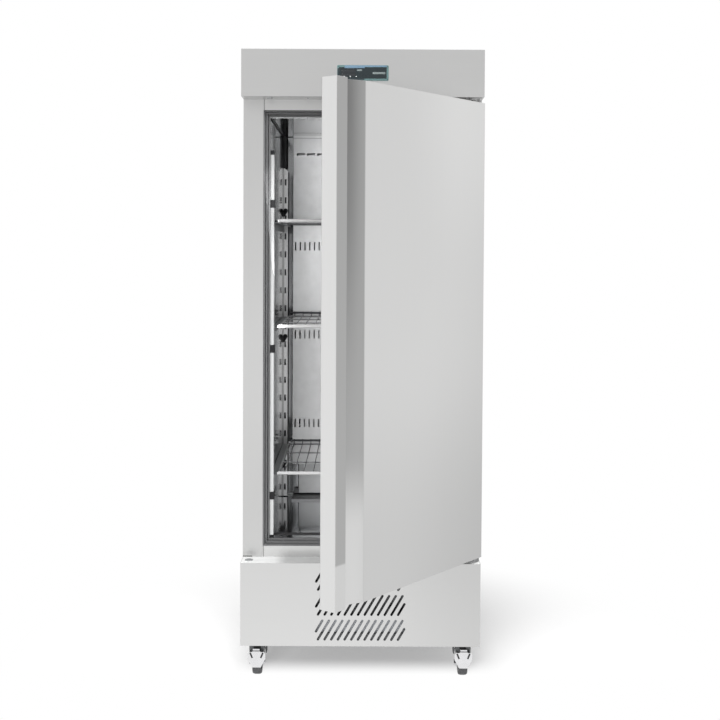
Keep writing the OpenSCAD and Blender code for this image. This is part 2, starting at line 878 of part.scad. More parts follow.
// Finned block in a frame: the grooves between the fins run down its front
module condenser_coil() {
    x1 = condenser_x0 + condenser_w;
    z1 = tray_z + condenser_h;
    fin_pitch = 6.5;
    color("dimgray") difference() {
        box([condenser_x0, condenser_y, tray_z], [x1, shroud_y, z1]);
        for (x = [condenser_x0 + 10:fin_pitch:x1 - 10])
            box([x - 1.5, condenser_y - cut, tray_z + 8], [x + 1.5, condenser_y + 6, z1 - 8]);
    }
}

module condenser_shroud() {
    z1 = tray_z + condenser_h;
    wall = 1.5;
    depth = 30;
    color("silver") difference() {
        box([condenser_x0, shroud_y, tray_z], [condenser_x0 + condenser_w + 80, shroud_y + wall, z1]);
        along_y(shroud_y - cut, shroud_y + wall + cut)
            translate([cond_fan_x, cond_fan_z]) circle(r = cond_fan_r + 2);
    }
    color("silver") along_y(shroud_y + wall, shroud_y + depth) translate([cond_fan_x, cond_fan_z])
        difference() {
            circle(r = cond_fan_r + 2 + wall);
            circle(r = cond_fan_r + 2);
        }
}

// Motor on a foot behind the fan
module condenser_fan_motor() {
    y0 = cond_fan_y + hub_h + gap;
    color("gray") {
        translate([cond_fan_x, y0, cond_fan_z]) rotate([-90, 0, 0]) {
            cylinder(r = 26, h = 44);
            translate([0, 0, -hub_h - gap + 5]) cylinder(r = shaft_r, h = hub_h);
        }
        box([cond_fan_x - 12, y0 + 20, tray_z], [cond_fan_x + 12, y0 + 23, cond_fan_z]);
        box([cond_fan_x - 30, y0 + 20, tray_z], [cond_fan_x + 30, y0 + 60, tray_z + 3]);
    }
}

module condenser_fan() {
    color("black") translate([cond_fan_x, cond_fan_y + hub_h, cond_fan_z]) rotate([90, 0, 0])
        fan_rotor(cond_fan_r - 2, 24, hub_h, 5, shaft_r + fit);
}

// A pipe with round corners through a list of points
module pipe(points, r = pipe_r) {
    for (i = [0:len(points) - 2]) {
        a = points[i];
        d = points[i + 1] - a;
        translate(a) rotate([0, acos(d[2] / norm(d)), atan2(d[1], d[0])]) cylinder(r = r, h = norm(d), $fn = 24);
        if (i > 0) translate(a) sphere(r = r, $fn = 24);
    }
}

module pipework() {
    z_side = tray_z + 60;
    x_c = compressor_x - compressor_r - gap;
    x_coil = condenser_x0 - gap;
    deck = plinth_top - sheet_t - gap;
    color("peru") {
        pipe([[x_c, compressor_y, z_side], [x_coil - 20, compressor_y, z_side],
            [x_coil - 20, condenser_y + 20, z_side], [x_coil, condenser_y + 20, z_side]]);
        pipe([[compressor_x + 20, compressor_y + compressor_r + gap, z_side + 20],
            [compressor_x + 20, compressor_y + compressor_r + 40, z_side + 20],
            [compressor_x + 20, compressor_y + compressor_r + 40, deck]], pipe_r + 1);
    }
}

module evaporating_tray() {
    wall = 2 * sheet_t;
    x0 = -tray_w / 2 + 20;
    x1 = -10;
    y1 = -tray_back - 10;
    y0 = y1 - pan_d;
    color("dimgray") difference() {
        box([x0, y0, tray_z], [x1, y1, tray_z + pan_wall_h]);
        box([x0 + wall, y0 + wall, tray_z + wall],
            [x1 - wall, y1 - wall, tray_z + pan_wall_h + cut]);
    }
}

// Castors

castor_places = [
    [-castor_axis_x, castor_front_y],
    [castor_axis_x, castor_front_y],
    [-castor_axis_x, castor_rear_y],
    [castor_axis_x, castor_rear_y]];

// The wheels of the front castors trail forwards, those of the rear castors backwards
module at_castor(i) {
    translate([castor_places[i][0], castor_places[i][1], 0])
        rotate([0, 0, i < 2 ? 0 : 180]) children();
}

module castor_plate() {
    plate_t = 3;
    race_r = 25;
    pin_end = head_z - crown_t - 2 * gap;
    translate([-plate_w / 2, -plate_w / 2, castor_h - plate_t]) difference() {
        cube([plate_w, plate_w, plate_t]);
        for (x = [6, plate_w - 6], y = [6, plate_w - 6])
            translate([x, y, -cut]) cylinder(r = 3.2, h = plate_t + 2 * cut, $fn = 24);
    }
    translate([0, 0, head_z]) cylinder(r = race_r, h = castor_h - plate_t - head_z);
    translate([0, 0, pin_end - 3]) cylinder(r = kingpin_r, h = head_z - pin_end + 3);
    translate([0, 0, pin_end - 3]) cylinder(r = 10, h = 3);
}

module castor_plates() {
    color("dimgray") for (i = [0:3]) at_castor(i) castor_plate();
}

pedal_pivot = [-18, 76];
pedal_pin_r = 2;
pedal_t = 2;
pedal_ear_x = cheek_in + cheek_t + gap;
pedal_pin_x = pedal_ear_x + pedal_t + 1;

// Crown on the kingpin, two tapering cheeks, and the axle bolt with its nut.
// The forks with a brake have stub pins for the pedal.
module castor_fork(braked) {
    crown_z = head_z - gap - crown_t;
    cheek_out = cheek_in + cheek_t;
    color("silver") {
        difference() {
            union() {
                intersection() {
                    translate([0, 0, crown_z]) cylinder(r = crown_r, h = crown_t);
                    box([-cheek_out - 6, -crown_r, crown_z], [cheek_out + 6, crown_r, crown_z + crown_t]);
                }
                both_sides() along_x(cheek_in, cheek_out) {
                    polygon([[-crown_r * 0.75, crown_z + crown_t - 2], [crown_r * 0.75, crown_z + crown_t - 2],
                        [-trail + 13, wheel_r], [-trail - 13, wheel_r]]);
                    translate([-trail, wheel_r]) circle(r = 13);
                }
                if (braked) both_sides() along_x(cheek_in, pedal_pin_x)
                    translate(pedal_pivot) circle(r = pedal_pin_r);
            }
            translate([0, 0, crown_z - cut]) cylinder(r = kingpin_r + fit, h = crown_t + 2 * cut);
            along_x(-cheek_out - cut, cheek_out + cut) translate([-trail, wheel_r]) circle(r = axle_r + fit);
        }
        along_x(-cheek_out - 6, cheek_out + 4) translate([-trail, wheel_r]) circle(r = axle_r);
        along_x(-cheek_out - 6, -cheek_out) translate([-trail, wheel_r]) circle(r = 9, $fn = 6);
        along_x(cheek_out, cheek_out + 4) translate([-trail, wheel_r]) circle(r = 8);
    }
}

module castor_wheel() {
    rim_r = wheel_r * 0.74;
    color("dimgray") translate([0, -trail, wheel_r]) rotate([0, 90, 0]) rotate_extrude() polygon([
        [axle_r + fit, -hub_w / 2], [12, -hub_w / 2], [13, -hub_w / 2 + 3], [14, -6],
        [rim_r - 4, -6], [rim_r - 2, -wheel_w / 2 + 1], [wheel_r * 0.9, -wheel_w / 2],
        [wheel_r * 0.97, -wheel_w / 2 + 3], [wheel_r, -wheel_w / 2 + 8],
        [wheel_r, wheel_w / 2 - 8], [wheel_r * 0.97, wheel_w / 2 - 3],
        [wheel_r * 0.9, wheel_w / 2], [rim_r - 2, wheel_w / 2 - 1], [rim_r - 4, 6],
        [14, 6], [13, hub_w / 2 - 3], [12, hub_w / 2], [axle_r + fit, hub_w / 2]]);
}

// Brake pedal: a shield in front of the wheel with a toe lip, on ears outside the fork
module castor_pedal() {
    face_y = -trail - wheel_r - 5;
    top = pedal_pivot[1] + 6;
    low = wheel_r - 4;
    wide = pedal_ear_x + pedal_t + 5;
    narrow = wheel_w / 2 + 1;
    toe = 12;
    color("silver") difference() {
        union() {
            along_y(face_y - pedal_t, face_y) polygon([
                [-wide + 4, top], [-toe, top], [-toe, top + 3], [toe, top + 3], [toe, top], [wide - 4, top],
                [wide, top - 6], [wide, top - 22], [narrow, low + 4], [narrow - 2, low],
                [-narrow + 2, low], [-narrow, low + 4], [-wide, top - 22], [-wide, top - 6]]);
            box([-toe, face_y - 12, top + 1], [toe, face_y, top + 3]);
            box([-toe, face_y - 12, top + 1], [toe, face_y - 10, top + 6]);
            both_sides() box([pedal_ear_x, face_y, top - 14],
                [pedal_ear_x + pedal_t, pedal_pivot[0] + 6, top]);
        }
        along_x(-pedal_pin_x - cut, pedal_pin_x + cut)
            translate(pedal_pivot) circle(r = pedal_pin_r + fit);
    }
}

module castor_fork_fl() at_castor(0) castor_fork(true);
module castor_fork_fr() at_castor(1) castor_fork(true);
module castor_fork_rl() at_castor(2) castor_fork(false);
module castor_fork_rr() at_castor(3) castor_fork(false);
module castor_wheel_fl() at_castor(0) castor_wheel();
module castor_wheel_fr() at_castor(1) castor_wheel();
module castor_wheel_rl() at_castor(2) castor_wheel();
module castor_wheel_rr() at_castor(3) castor_wheel();
module castor_pedal_fl() at_castor(0) castor_pedal();
module castor_pedal_fr() at_castor(1) castor_pedal();

// Door. It is drawn closed and swung open about its pin.

module swung() {
    translate([pin_x, pin_y, 0]) rotate([0, 0, door_angle]) translate([-pin_x, -pin_y, 0]) children();
}

inner_path = beside(handle_path, sheet_t);

// Outline of the space inside the door skin, run back to the plane y
module door_core(y) {
    last = len(inner_path) - 1;
    polygon(concat(
        [[inner_path[0][0], y]],
        [for (i = [1:last - 1]) inner_path[i]],
        [[inner_path[last][0], y]]));
}

module bush_holes() {
    at_pin() for (z = [door_z0 - cut, door_z1 - bush_len])
        translate([0, 0, z]) cylinder(r = bush_r + fit, h = bush_len + cut);
}

// Outer skin, folded into the full-height handle along its free edge
module door_skin() {
    color("gainsboro") swung() difference() {
        translate([0, 0, door_z0]) linear_extrude(door_h) polygon(handle_path);
        translate([0, 0, door_z0 + sheet_t]) linear_extrude(door_h - 2 * sheet_t)
            door_core(door_back + cut);
        bush_holes();
    }
}

plateau_x = door_x - gasket_in - gasket_w - 4;
plateau_z0 = open_z0 + 6;
plateau_z1 = open_z1 - 6;

module door_insulation() {
    color("khaki") swung() difference() {
        union() {
            translate([0, 0, door_z0 + sheet_t]) linear_extrude(door_h - 2 * sheet_t)
                door_core(door_back - sheet_t);
            box([-plateau_x + sheet_t, door_back - sheet_t, plateau_z0 + sheet_t],
                [plateau_x - sheet_t, door_back + plateau_h - sheet_t, plateau_z1 - sheet_t]);
        }
        bush_holes();
    }
}

// Inner panel, pressed in inside the gasket
module door_liner() {
    in_x = door_x - sheet_t;
    color("lightgray") swung() difference() {
        union() {
            box([-in_x, door_back - sheet_t, door_z0 + sheet_t], [in_x, door_back, door_z1 - sheet_t]);
            box([-plateau_x, door_back, plateau_z0], [plateau_x, door_back + plateau_h, plateau_z1]);
        }
        box([-plateau_x + sheet_t, door_back - sheet_t - cut, plateau_z0 + sheet_t],
            [plateau_x - sheet_t, door_back + plateau_h - sheet_t, plateau_z1 - sheet_t]);
    }
}

// Magnetic gasket: a foot on the door and a bulb that meets the frame
module gasket_ring(inset, y0, y1) {
    x = door_x - gasket_in - inset;
    z_in = (open_z0 - door_z0 - gasket_w) / 2 + inset;
    w = gasket_w - 2 * inset;
    difference() {
        box([-x, y0, door_z0 + z_in], [x, y1, door_z1 - z_in]);
        box([-x + w, y0 - cut, door_z0 + z_in + w], [x - w, y1 + cut, door_z1 - z_in - w]);
    }
}

module door_gasket() {
    reach = frame_y - gap - door_back;
    color("lightslategray") swung() {
        gasket_ring(0, door_back, door_back + reach * 0.3);
        gasket_ring(3, door_back + reach * 0.3, door_back + reach * 0.5);
        gasket_ring(1, door_back + reach * 0.5, door_back + reach);
    }
}

module hinge_bushes() {
    color("white") swung() at_pin() difference() {
        union() {
            translate([0, 0, door_z0 - bush_flange]) cylinder(r = bush_r + 4, h = bush_flange);
            translate([0, 0, door_z0]) cylinder(r = bush_r, h = bush_len);
            translate([0, 0, door_z1 - bush_len]) cylinder(r = bush_r, h = bush_len);
            translate([0, 0, door_z1]) cylinder(r = bush_r + 4, h = bush_flange);
        }
        translate([0, 0, door_z0 - bush_flange - cut]) cylinder(r = pin_r + fit, h = bush_len + bush_flange);
        translate([0, 0, door_z1 - bush_len + cut]) cylinder(r = pin_r + fit, h = bush_len + bush_flange);
    }
}

// Wire shelf: a bright front bar, a frame of rods and thin wires from front to back
module shelf(z) {
    rod_z = z - bar_r;
    side_x = shelf_w / 2 - rod_r;
    y0 = shelf_y + bar_r;
    y1 = shelf_back - rod_r;
    wires = floor(side_x / wire_pitch - 0.3);
    color("white") {
        along_x(-shelf_w / 2, shelf_w / 2) translate([y0, rod_z]) circle(r = bar_r);
        along_x(-side_x, side_x) translate([y1, rod_z]) circle(r = rod_r);
        both_sides() along_y(y0, y1) translate([side_x, rod_z]) circle(r = rod_r);
        for (s = [0.35, 0.68])
            along_x(-side_x, side_x) translate([y0 + (y1 - y0) * s, rod_z - 0.5]) circle(r = rod_r - 0.5);
        for (i = [-wires:wires])
            along_y(y0, y1) translate([i * wire_pitch, rod_z + wire_r]) circle(r = wire_r, $fn = 16);
    }
}

module shelf_top() shelf(shelf_z1);
module shelf_middle() shelf(shelf_z2);
module shelf_bottom() shelf(shelf_z3);

side_panel_left();
side_panel_right();
rear_panel();
roof_panel();
cabinet_insulation();
liner();
door_frame_rails();
thermal_breaker();
fascia();
control_bezel();
control_overlay();
controller_box();
plinth_front();
plinth_sides();
plinth_deck();
rear_grille();
base_pan();
unit_tray();
hinge_bracket_top();
hinge_block_bottom();
blanking_plugs();
shelf_uprights();
upright_knobs();
shelf_runners();
lamp_bar();
lamp_clips();
duct_panel();
evaporator_coil();
evaporator_fan_frame();
evaporator_fan();
drain_trough();
air_probe();
compressor();
condenser_coil();
condenser_shroud();
condenser_fan_motor();
condenser_fan();
pipework();
evaporating_tray();
mains_inlet();
castor_plates();
door_skin();
door_insulation();
door_liner();
door_gasket();
hinge_bushes();
shelf_top();
shelf_middle();
shelf_bottom();
castor_fork_fl();
castor_fork_fr();
castor_fork_rl();
castor_fork_rr();
castor_wheel_fl();
castor_wheel_fr();
castor_wheel_rl();
castor_wheel_rr();
castor_pedal_fl();
castor_pedal_fr();
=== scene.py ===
"""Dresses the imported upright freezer: finishes, small fittings, floor, light and camera."""
import json
import math

import bmesh
import bpy
from bpy.props import FloatProperty, FloatVectorProperty, PointerProperty
from mathutils import Matrix, Vector


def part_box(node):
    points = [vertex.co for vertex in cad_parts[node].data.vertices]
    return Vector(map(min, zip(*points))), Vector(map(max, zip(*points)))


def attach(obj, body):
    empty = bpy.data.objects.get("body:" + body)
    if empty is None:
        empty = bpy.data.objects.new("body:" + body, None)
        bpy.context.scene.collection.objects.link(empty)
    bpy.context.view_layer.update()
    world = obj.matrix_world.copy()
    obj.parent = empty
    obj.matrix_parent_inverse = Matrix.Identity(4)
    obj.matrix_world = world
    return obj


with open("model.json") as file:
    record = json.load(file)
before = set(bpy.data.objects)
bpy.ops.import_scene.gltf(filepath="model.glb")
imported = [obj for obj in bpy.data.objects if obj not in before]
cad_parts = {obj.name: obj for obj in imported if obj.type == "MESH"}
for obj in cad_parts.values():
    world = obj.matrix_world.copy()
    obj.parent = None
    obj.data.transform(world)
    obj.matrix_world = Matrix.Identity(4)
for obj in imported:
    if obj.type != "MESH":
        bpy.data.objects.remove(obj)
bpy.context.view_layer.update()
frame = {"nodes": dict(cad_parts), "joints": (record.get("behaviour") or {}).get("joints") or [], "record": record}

bl_info = {
    "name": "Upright freezer dressing",
    "version": (1, 0, 0),
    "blender": (4, 5, 0),
    "location": "View3D > Sidebar > Freezer",
    "description": "Finishes, fittings and stage for a single-door upright freezer",
    "category": "Object",
}

RECORD_COLOUR = {m["slot"]: m["base_color"] for m in frame["record"]["materials"]}

# The inside of the liner, in metres
WALL_X = 0.284
FLOOR_Z = 0.427
CEILING_Z = 1.734
REAR_Y = -0.064
MOUTH_Y = -0.718

# The door opening: where the rails meet the stiles, its foot and its head
STILE_X = 0.3005
OPENING_FOOT = 0.408
OPENING_HEAD = 1.753

# The duct panel: half its width and its face. Below it the rear wall has a plate
DUCT_X = 0.2455
DUCT_Y = -0.124
PLATE_X = 0.2262
PLATE_TOP = 0.549

# Thin trim stands this far off the sheet that carries it, and has chamfers of this size
GAP = 0.0002

# Shelves: radii of the front bar, its coat, the rods and the stop bar, and thin wire to thin wire
BAR_R = 0.0045
COAT_R = 0.0053
ROD_R = 0.003
STOP_R = 0.0036
WIRE_PITCH = 0.030

# The open door's free edge, and the level way from there to the hinge
DOOR_EDGE = (-0.0848, -1.3451, 0.0)
DOOR_WAY = (0.60876, 0.79335, 0.0)

# The castors, and the swivel axis of each one's body
FRONT = ("fl", "fr")
CASTORS = (*FRONT, "rl", "rr")
SWIVELS = {j["child"]: j["pos_m"] for j in frame["joints"] if j["name"].endswith("_swivel")}

# The camera, fitted to the photograph's edges: place, pitch, roll, lens and shift
CAMERA_PLACE = (-0.00551, -4.39971, 1.33031)
CAMERA_PITCH = -0.03319
CAMERA_ROLL = 0.005
CAMERA_LENS = 59.356
CAMERA_SHIFT = -0.10

BLACK = (0.0, 0.0, 0.0)


# Shader maths

class Wire:
    """A socket of a node tree. Arithmetic on it adds Math nodes."""

    def __init__(self, nodes, socket):
        self.nodes = nodes
        self.socket = socket

    def maths(self, operation, *others):
        values = dict(enumerate((self, *others)))
        return self.nodes.add("ShaderNodeMath", {"operation": operation}, values)

    def __add__(self, other):
        return self.maths("ADD", other)

    def __sub__(self, other):
        return self.maths("SUBTRACT", other)

    def __rsub__(self, other):
        return self.nodes.add("ShaderNodeMath", {"operation": "SUBTRACT"}, {0: other, 1: self})

    def __mul__(self, other):
        return self.maths("MULTIPLY", other)

    def __pow__(self, other):
        return self.maths("POWER", other)

    def __abs__(self):
        return self.maths("ABSOLUTE")

    __radd__ = __add__
    __rmul__ = __mul__

    def between(self, low, high, smooth=True):
        """0 below low, 1 above high."""
        settings = {"interpolation_type": "SMOOTHSTEP" if smooth else "LINEAR"}
        sockets = {"Value": self, "From Min": low, "From Max": high}
        return self.nodes.add("ShaderNodeMapRange", settings, sockets)


class Nodes:
    """A node tree and the one method that adds to it."""

    def __init__(self, tree):
        self.tree = tree
        tree.nodes.clear()

    def add(self, kind, settings=None, sockets=None, out=0):
        """Adds a node: its settings first, then the values or links of its sockets."""
        node = self.tree.nodes.new(kind)
        for key, value in (settings or {}).items():
            setattr(node, key, value)
        for key, value in (sockets or {}).items():
            self.plug(node.inputs[key], value)
        return Wire(self, node.outputs[out]) if node.outputs else None

    def plug(self, socket, value):
        if isinstance(value, Wire):
            self.tree.links.new(value.socket, socket)
        elif socket.type == "RGBA" and len(value) == 3:
            socket.default_value = (*value, 1)
        else:
            socket.default_value = value

    def place(self):
        """The surface's own coordinates in metres, which stay with the piece."""
        return self.add("ShaderNodeTexCoord", out="Object")

    def axis(self, vector, name):
        return self.add("ShaderNodeSeparateXYZ", {}, {0: vector}, out=name)

    def vectors(self, operation, first, second, out=0):
        """Vector Math on two vectors."""
        return self.add("ShaderNodeVectorMath", {"operation": operation}, {0: first, 1: second}, out)

    def grain(self, vector, scale, detail=2.0, roughness=0.5):
        sockets = {"Vector": vector, "Scale": scale, "Detail": detail, "Roughness": roughness}
        return self.add("ShaderNodeTexNoise", {}, sockets)

    def cells(self, vector, scale, out=0):
        """Voronoi cells: the distance from each one's centre, or its own colour."""
        sockets = {"Vector": vector, "Scale": scale}
        return self.add("ShaderNodeTexVoronoi", {"feature": "F1"}, sockets, out)

    def blend(self, factor, first, second):
        """A colour between two colours."""
        return self.add("ShaderNodeMix", {"data_type": "RGBA"}, {0: factor, 6: first, 7: second}, out=2)

    def shaded(self, colour, shade, at):
        """A colour, darkened by what a shade function gives at each place."""
        return self.blend(shade(self, at), colour, BLACK) if shade else colour

    def along(self, at, start, way):
        """How far a place lies from start, measured along a way."""
        return self.vectors("DOT_PRODUCT", self.vectors("SUBTRACT", at, start), way, "Value")

    def ray(self, kind):
        """1 for rays of a kind, such as Camera or Glossy."""
        return self.add("ShaderNodeLightPath", out="Is " + kind + " Ray")

    def bump(self, height, distance):
        return self.add("ShaderNodeBump", {}, {"Height": height, "Distance": distance})


def finish(name, sockets_of):
    """A material from a function that takes its nodes and returns the Principled sockets."""
    material = bpy.data.materials.new(name)
    material.use_nodes = True
    nodes = Nodes(material.node_tree)
    shader = nodes.add("ShaderNodeBsdfPrincipled", {}, sockets_of(nodes))
    nodes.add("ShaderNodeOutputMaterial", {}, {"Surface": shader})
    return material


def tinted(colour, factor):
    return tuple(min(1.0, c * factor) for c in colour)


# Finishes

def brushed_steel(name, colour, roughness, along="Z", streak=0.05, shade=None):
    """Satin steel with its brushing along one axis and faint cloudy handling marks."""

    def sockets(n):
        at = n.place()
        scale = tuple(5.0 if a == along else 420.0 for a in "XYZ")
        fine = n.grain(n.vectors("MULTIPLY", at, scale), 1.0, 3.0, 0.6)
        wide = n.grain(n.vectors("MULTIPLY", at, tuple(s * 0.12 for s in scale)), 1.0, 2.0)
        cloud = n.grain(at, 2.6, 2.0)
        tone = (fine - 0.5) * streak + (wide - 0.5) * streak * 0.6 + (cloud - 0.5) * 0.05
        mix = (tone * 2.0 + 0.5).between(0.0, 1.0, False)
        base = n.blend(mix, tinted(colour, 0.9), tinted(colour, 1.1))
        return {
            "Base Color": n.shaded(base, shade, at),
            "Metallic": 1.0,
            "Roughness": (fine - 0.5) * 0.10 + (cloud - 0.5) * 0.08 + roughness,
            "Normal": n.bump(fine, 0.00002),
        }

    return finish(name, sockets)


def polished_steel(name, colour, roughness, shade=None):
    """Bright rolled sheet: nearly a mirror, slightly wavy."""

    def sockets(n):
        at = n.place()
        wave = n.grain(at, 5.5, 1.0)
        cloud = n.grain(at, 24.0, 3.0)
        bright = n.blend(cloud, tinted(colour, 0.94), tinted(colour, 1.05))
        return {
            "Base Color": n.shaded(bright, shade, at),
            "Metallic": 1.0,
            "Roughness": (cloud - 0.5) * 0.08 + roughness,
            "Normal": n.bump(wave, 0.0006),
        }

    return finish(name, sockets)


def moulded(name, colour, roughness, grain_size=900.0, depth=0.00004, coat=0.0, shade=None):
    """Moulded or coated surface with a fine skin texture and a little dust."""

    def sockets(n):
        at = n.place()
        skin = n.grain(at, grain_size, 2.0, 0.6)
        dust = n.grain(at, 30.0, 3.0)
        base = n.blend(dust, tinted(colour, 0.88), tinted(colour, 1.12))
        values = {
            "Base Color": n.shaded(base, shade, at),
            "Roughness": (skin - 0.5) * 0.12 + (dust - 0.5) * 0.10 + roughness,
            "Normal": n.bump(skin, depth),
        }
        if coat:
            values["Coat Weight"] = coat
        return values

    return finish(name, sockets)


def plated(name, colour, roughness, spangle=0.0, shade=None):
    """Zinc or galvanised metal, with its crystal pattern where it has one."""

    def sockets(n):
        at = n.place()
        cell = n.cells(at, 90.0, "Color")
        value = n.axis(cell, "X")
        cloud = n.grain(at, 60.0, 3.0)
        mix = (value - 0.5) * spangle + (cloud - 0.5) * 0.5 + 0.5
        base = n.blend(mix, tinted(colour, 0.8), tinted(colour, 1.15))
        return {
            "Base Color": n.shaded(base, shade, at),
            "Metallic": 1.0,
            "Roughness": (value - 0.5) * spangle * 0.25 + (cloud - 0.5) * 0.15 + roughness,
            "Normal": n.bump(cloud, 0.00003),
        }

    return finish(name, sockets)


def plated_fork(name, colour, crown_shade_colour, crown_z):
    """Bright zinc on the cheeks, and above a height a dark crown that is painted shade."""

    def sockets(n):
        at = n.place()
        cloud = n.grain(at, 60.0, 3.0)
        crown = n.axis(at, "Z").between(crown_z - 0.0005, crown_z + 0.0005)
        bright = n.blend(cloud, tinted(colour, 0.8), tinted(colour, 1.15))
        # Painted shade: the crown's darker colour.
        dull = n.blend(cloud, tinted(crown_shade_colour, 0.7), tinted(crown_shade_colour, 1.3))
        return {
            "Base Color": n.blend(crown, bright, dull),
            "Metallic": 1.0,
            "Roughness": (cloud - 0.5) * 0.15 + 0.24,
            "Normal": n.bump(cloud, 0.00003),
        }

    return finish(name, sockets)


def foam_finish(name, colour):
    """Sprayed insulation: small cells."""

    def sockets(n):
        at = n.place()
        cells = n.cells(at, 260.0)
        return {
            "Base Color": n.blend(cells, tinted(colour, 1.1), tinted(colour, 0.7)),
            "Roughness": 0.95,
            "Normal": n.bump(cells, 0.0008),
        }

    return finish(name, sockets)


def glowing_tube(name, colour, strength):
    """Opal cover of the lamp, lit while the door is open. Its colour is painted darker higher up, and darker still
    in a band around 1.3 to 1.45 m, as shade.
    """

    def sockets(n):
        at = n.place()
        cloud = n.grain(at, 12.0, 2.0)
        base = n.blend(cloud, tinted(colour, 0.95), tinted(colour, 1.05))
        # Painted shade: darker up high, and most where the lamps light the tube most.
        height = n.axis(at, "Z")
        glare_shade = height.between(1.24, 1.32) - height.between(1.42, 1.50)
        upper = height.between(1.15, 1.40) * 0.35 + glare_shade * 0.25
        return {
            "Base Color": n.blend(upper, base, BLACK),
            "Roughness": (cloud - 0.5) * 0.1 + 0.35,
            "Emission Color": n.blend(cloud, (0.96, 0.98, 1.0), (1.0, 1.0, 1.0)),
            "Emission Strength": strength,
        }

    return finish(name, sockets)


def shelf_wire(name, bar_back, rod_z, pitch):
    """Pale front bar, grey cross rods and dark thin wires, painted as lit and shaded tones of one wire; the rods'
    undersides are painted dark as shade.
    """

    def sockets(n):
        at = n.place()
        cloud = n.grain(at, 80.0, 2.0)
        behind = n.axis(at, "Y").between(bar_back - 0.0005, bar_back + 0.0005)
        height = n.axis(at, "Z")
        off_wire = n.axis(at, "X").maths("PINGPONG", pitch * 0.5)
        thin = 1.0 - off_wire.between(0.0019, 0.0022)
        # Painted shade: the thin wires dark.
        wire = thin * height.between(rod_z - 0.0002, rod_z + 0.0002) * behind
        # Painted shade: dark undersides of the rods.
        top = height.between(rod_z - 0.0018, rod_z + 0.0006).maths("MAXIMUM", 1.0 - behind)
        bar = n.blend(cloud, (0.36, 0.365, 0.365), (0.42, 0.42, 0.42))
        rods = n.blend(cloud, (0.24, 0.245, 0.25), (0.32, 0.325, 0.33))
        metal = n.blend(behind, bar, rods)
        metal = n.blend(top, (0.05, 0.05, 0.052), metal)
        return {
            "Base Color": n.blend(wire, metal, (0.045, 0.047, 0.05)),
            "Metallic": behind * 0.5,
            "Roughness": (cloud - 0.5) * 0.1 + 0.34,
            "Normal": n.bump(cloud, 0.00002),
        }

    return finish(name, sockets)


def castor_rubber(name, centre, colour, hub_colour, tyre_from):
    """Grey tyre on a lighter hub, told apart by the distance from the wheel's axis."""

    def sockets(n):
        at = n.place()
        y = n.axis(at, "Y") - centre[1]
        z = n.axis(at, "Z") - centre[2]
        radius = (y * y + z * z) ** 0.5
        tyre = radius.between(tyre_from - 0.0006, tyre_from + 0.0006)
        scuff = n.grain(at, 160.0, 4.0, 0.65)
        worn = n.blend(scuff, tinted(colour, 0.8), tinted(colour, 1.35))
        return {
            "Base Color": n.blend(tyre, hub_colour, worn),
            "Roughness": (scuff - 0.5) * 0.2 + 0.62,
            "Normal": n.bump(scuff, 0.00012),
        }

    return finish(name, sockets)


# Mesh code

def new_piece(name, shapes, body, material):
    """Makes a piece of (vertices, faces) shapes that rides on a body and takes the given finish."""
    mesh = mesh_of(name, shapes)
    for polygon in mesh.polygons:
        polygon.use_smooth = True
    mesh.materials.append(material)
    piece = bpy.data.objects.new(name, mesh)
    bpy.context.scene.collection.objects.link(piece)
    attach(piece, body)
    return piece


def mesh_of(name, shapes):
    """Joins (vertices, faces) shapes into one mesh, its normals outwards."""
    verts = []
    faces = []
    for shape_verts, shape_faces in shapes:
        base = len(verts)
        verts += [tuple(v) for v in shape_verts]
        faces += [[base + i for i in f] for f in shape_faces]
    mesh = bpy.data.meshes.new(name)
    mesh.from_pydata(verts, [], faces)
    bm = bmesh.new()
    bm.from_mesh(mesh)
    bmesh.ops.recalc_face_normals(bm, faces=bm.faces)
    bm.to_mesh(mesh)
    bm.free()
    return mesh


def lathe(profile, centre, direction, turns=24):
    """A closed profile of (radius, height) turned about an axis through centre."""
    spin = Vector(direction).to_track_quat("Z", "Y").to_matrix()
    verts = []
    for k in range(turns):
        angle = 2 * math.pi * k / turns
        for radius, height in profile:
            local = Vector((radius * math.cos(angle), radius * math.sin(angle), height))
            verts.append(Vector(centre) + spin @ local)
    count = len(profile)
    faces = []
    for k in range(turns):
        after = (k + 1) % turns
        for i in range(count - 1):
            here = k * count + i
            there = after * count + i
            faces.append([here, there, there + 1, here + 1])
    faces.append([k * count for k in range(turns)])
    faces.append([k * count + count - 1 for k in range(turns)])
    return verts, faces


def rod(start, end, radius):
    """A round bar with chamfered ends."""
    way = Vector(end) - Vector(start)
    edge = radius * 0.2
    top = way.length
    profile = [(radius - edge, 0.0), (radius, edge), (radius, top - edge), (radius - edge, top)]
    return lathe(profile, start, way, 16)


def level_rod(reach, y, z, radius):
    """A rod from side to side that reaches as far to the left as to the right."""
    return rod((-reach, y, z), (reach, y, z), radius)


def screw_head(centre, direction, radius, height):
    """Domed head with a chamfered rim and a round drive recess."""
    profile = [
        (radius, 0.0),
        (radius, height * 0.35),
        (radius * 0.86, height * 0.8),
        (radius * 0.6, height),
        (radius * 0.36, height),
        (radius * 0.3, height * 0.3),
        (radius * 0.02, height * 0.25),
    ]
    return lathe(profile, centre, direction)


def slab(low, high, edge):
    """A box whose twelve edges are chamfered."""
    bm = bmesh.new()
    bmesh.ops.create_cube(bm, size=1.0)
    low = Vector(low)
    high = Vector(high)
    for v in bm.verts:
        v.co = Vector(low[i] + (v.co[i] + 0.5) * (high[i] - low[i]) for i in range(3))
    bmesh.ops.bevel(bm, geom=bm.edges[:], offset=edge, segments=2, profile=0.5, affect="EDGES")
    bm.verts.index_update()
    verts = [v.co.copy() for v in bm.verts]
    faces = [[v.index for v in f.verts] for f in bm.faces]
    bm.free()
    return verts, faces


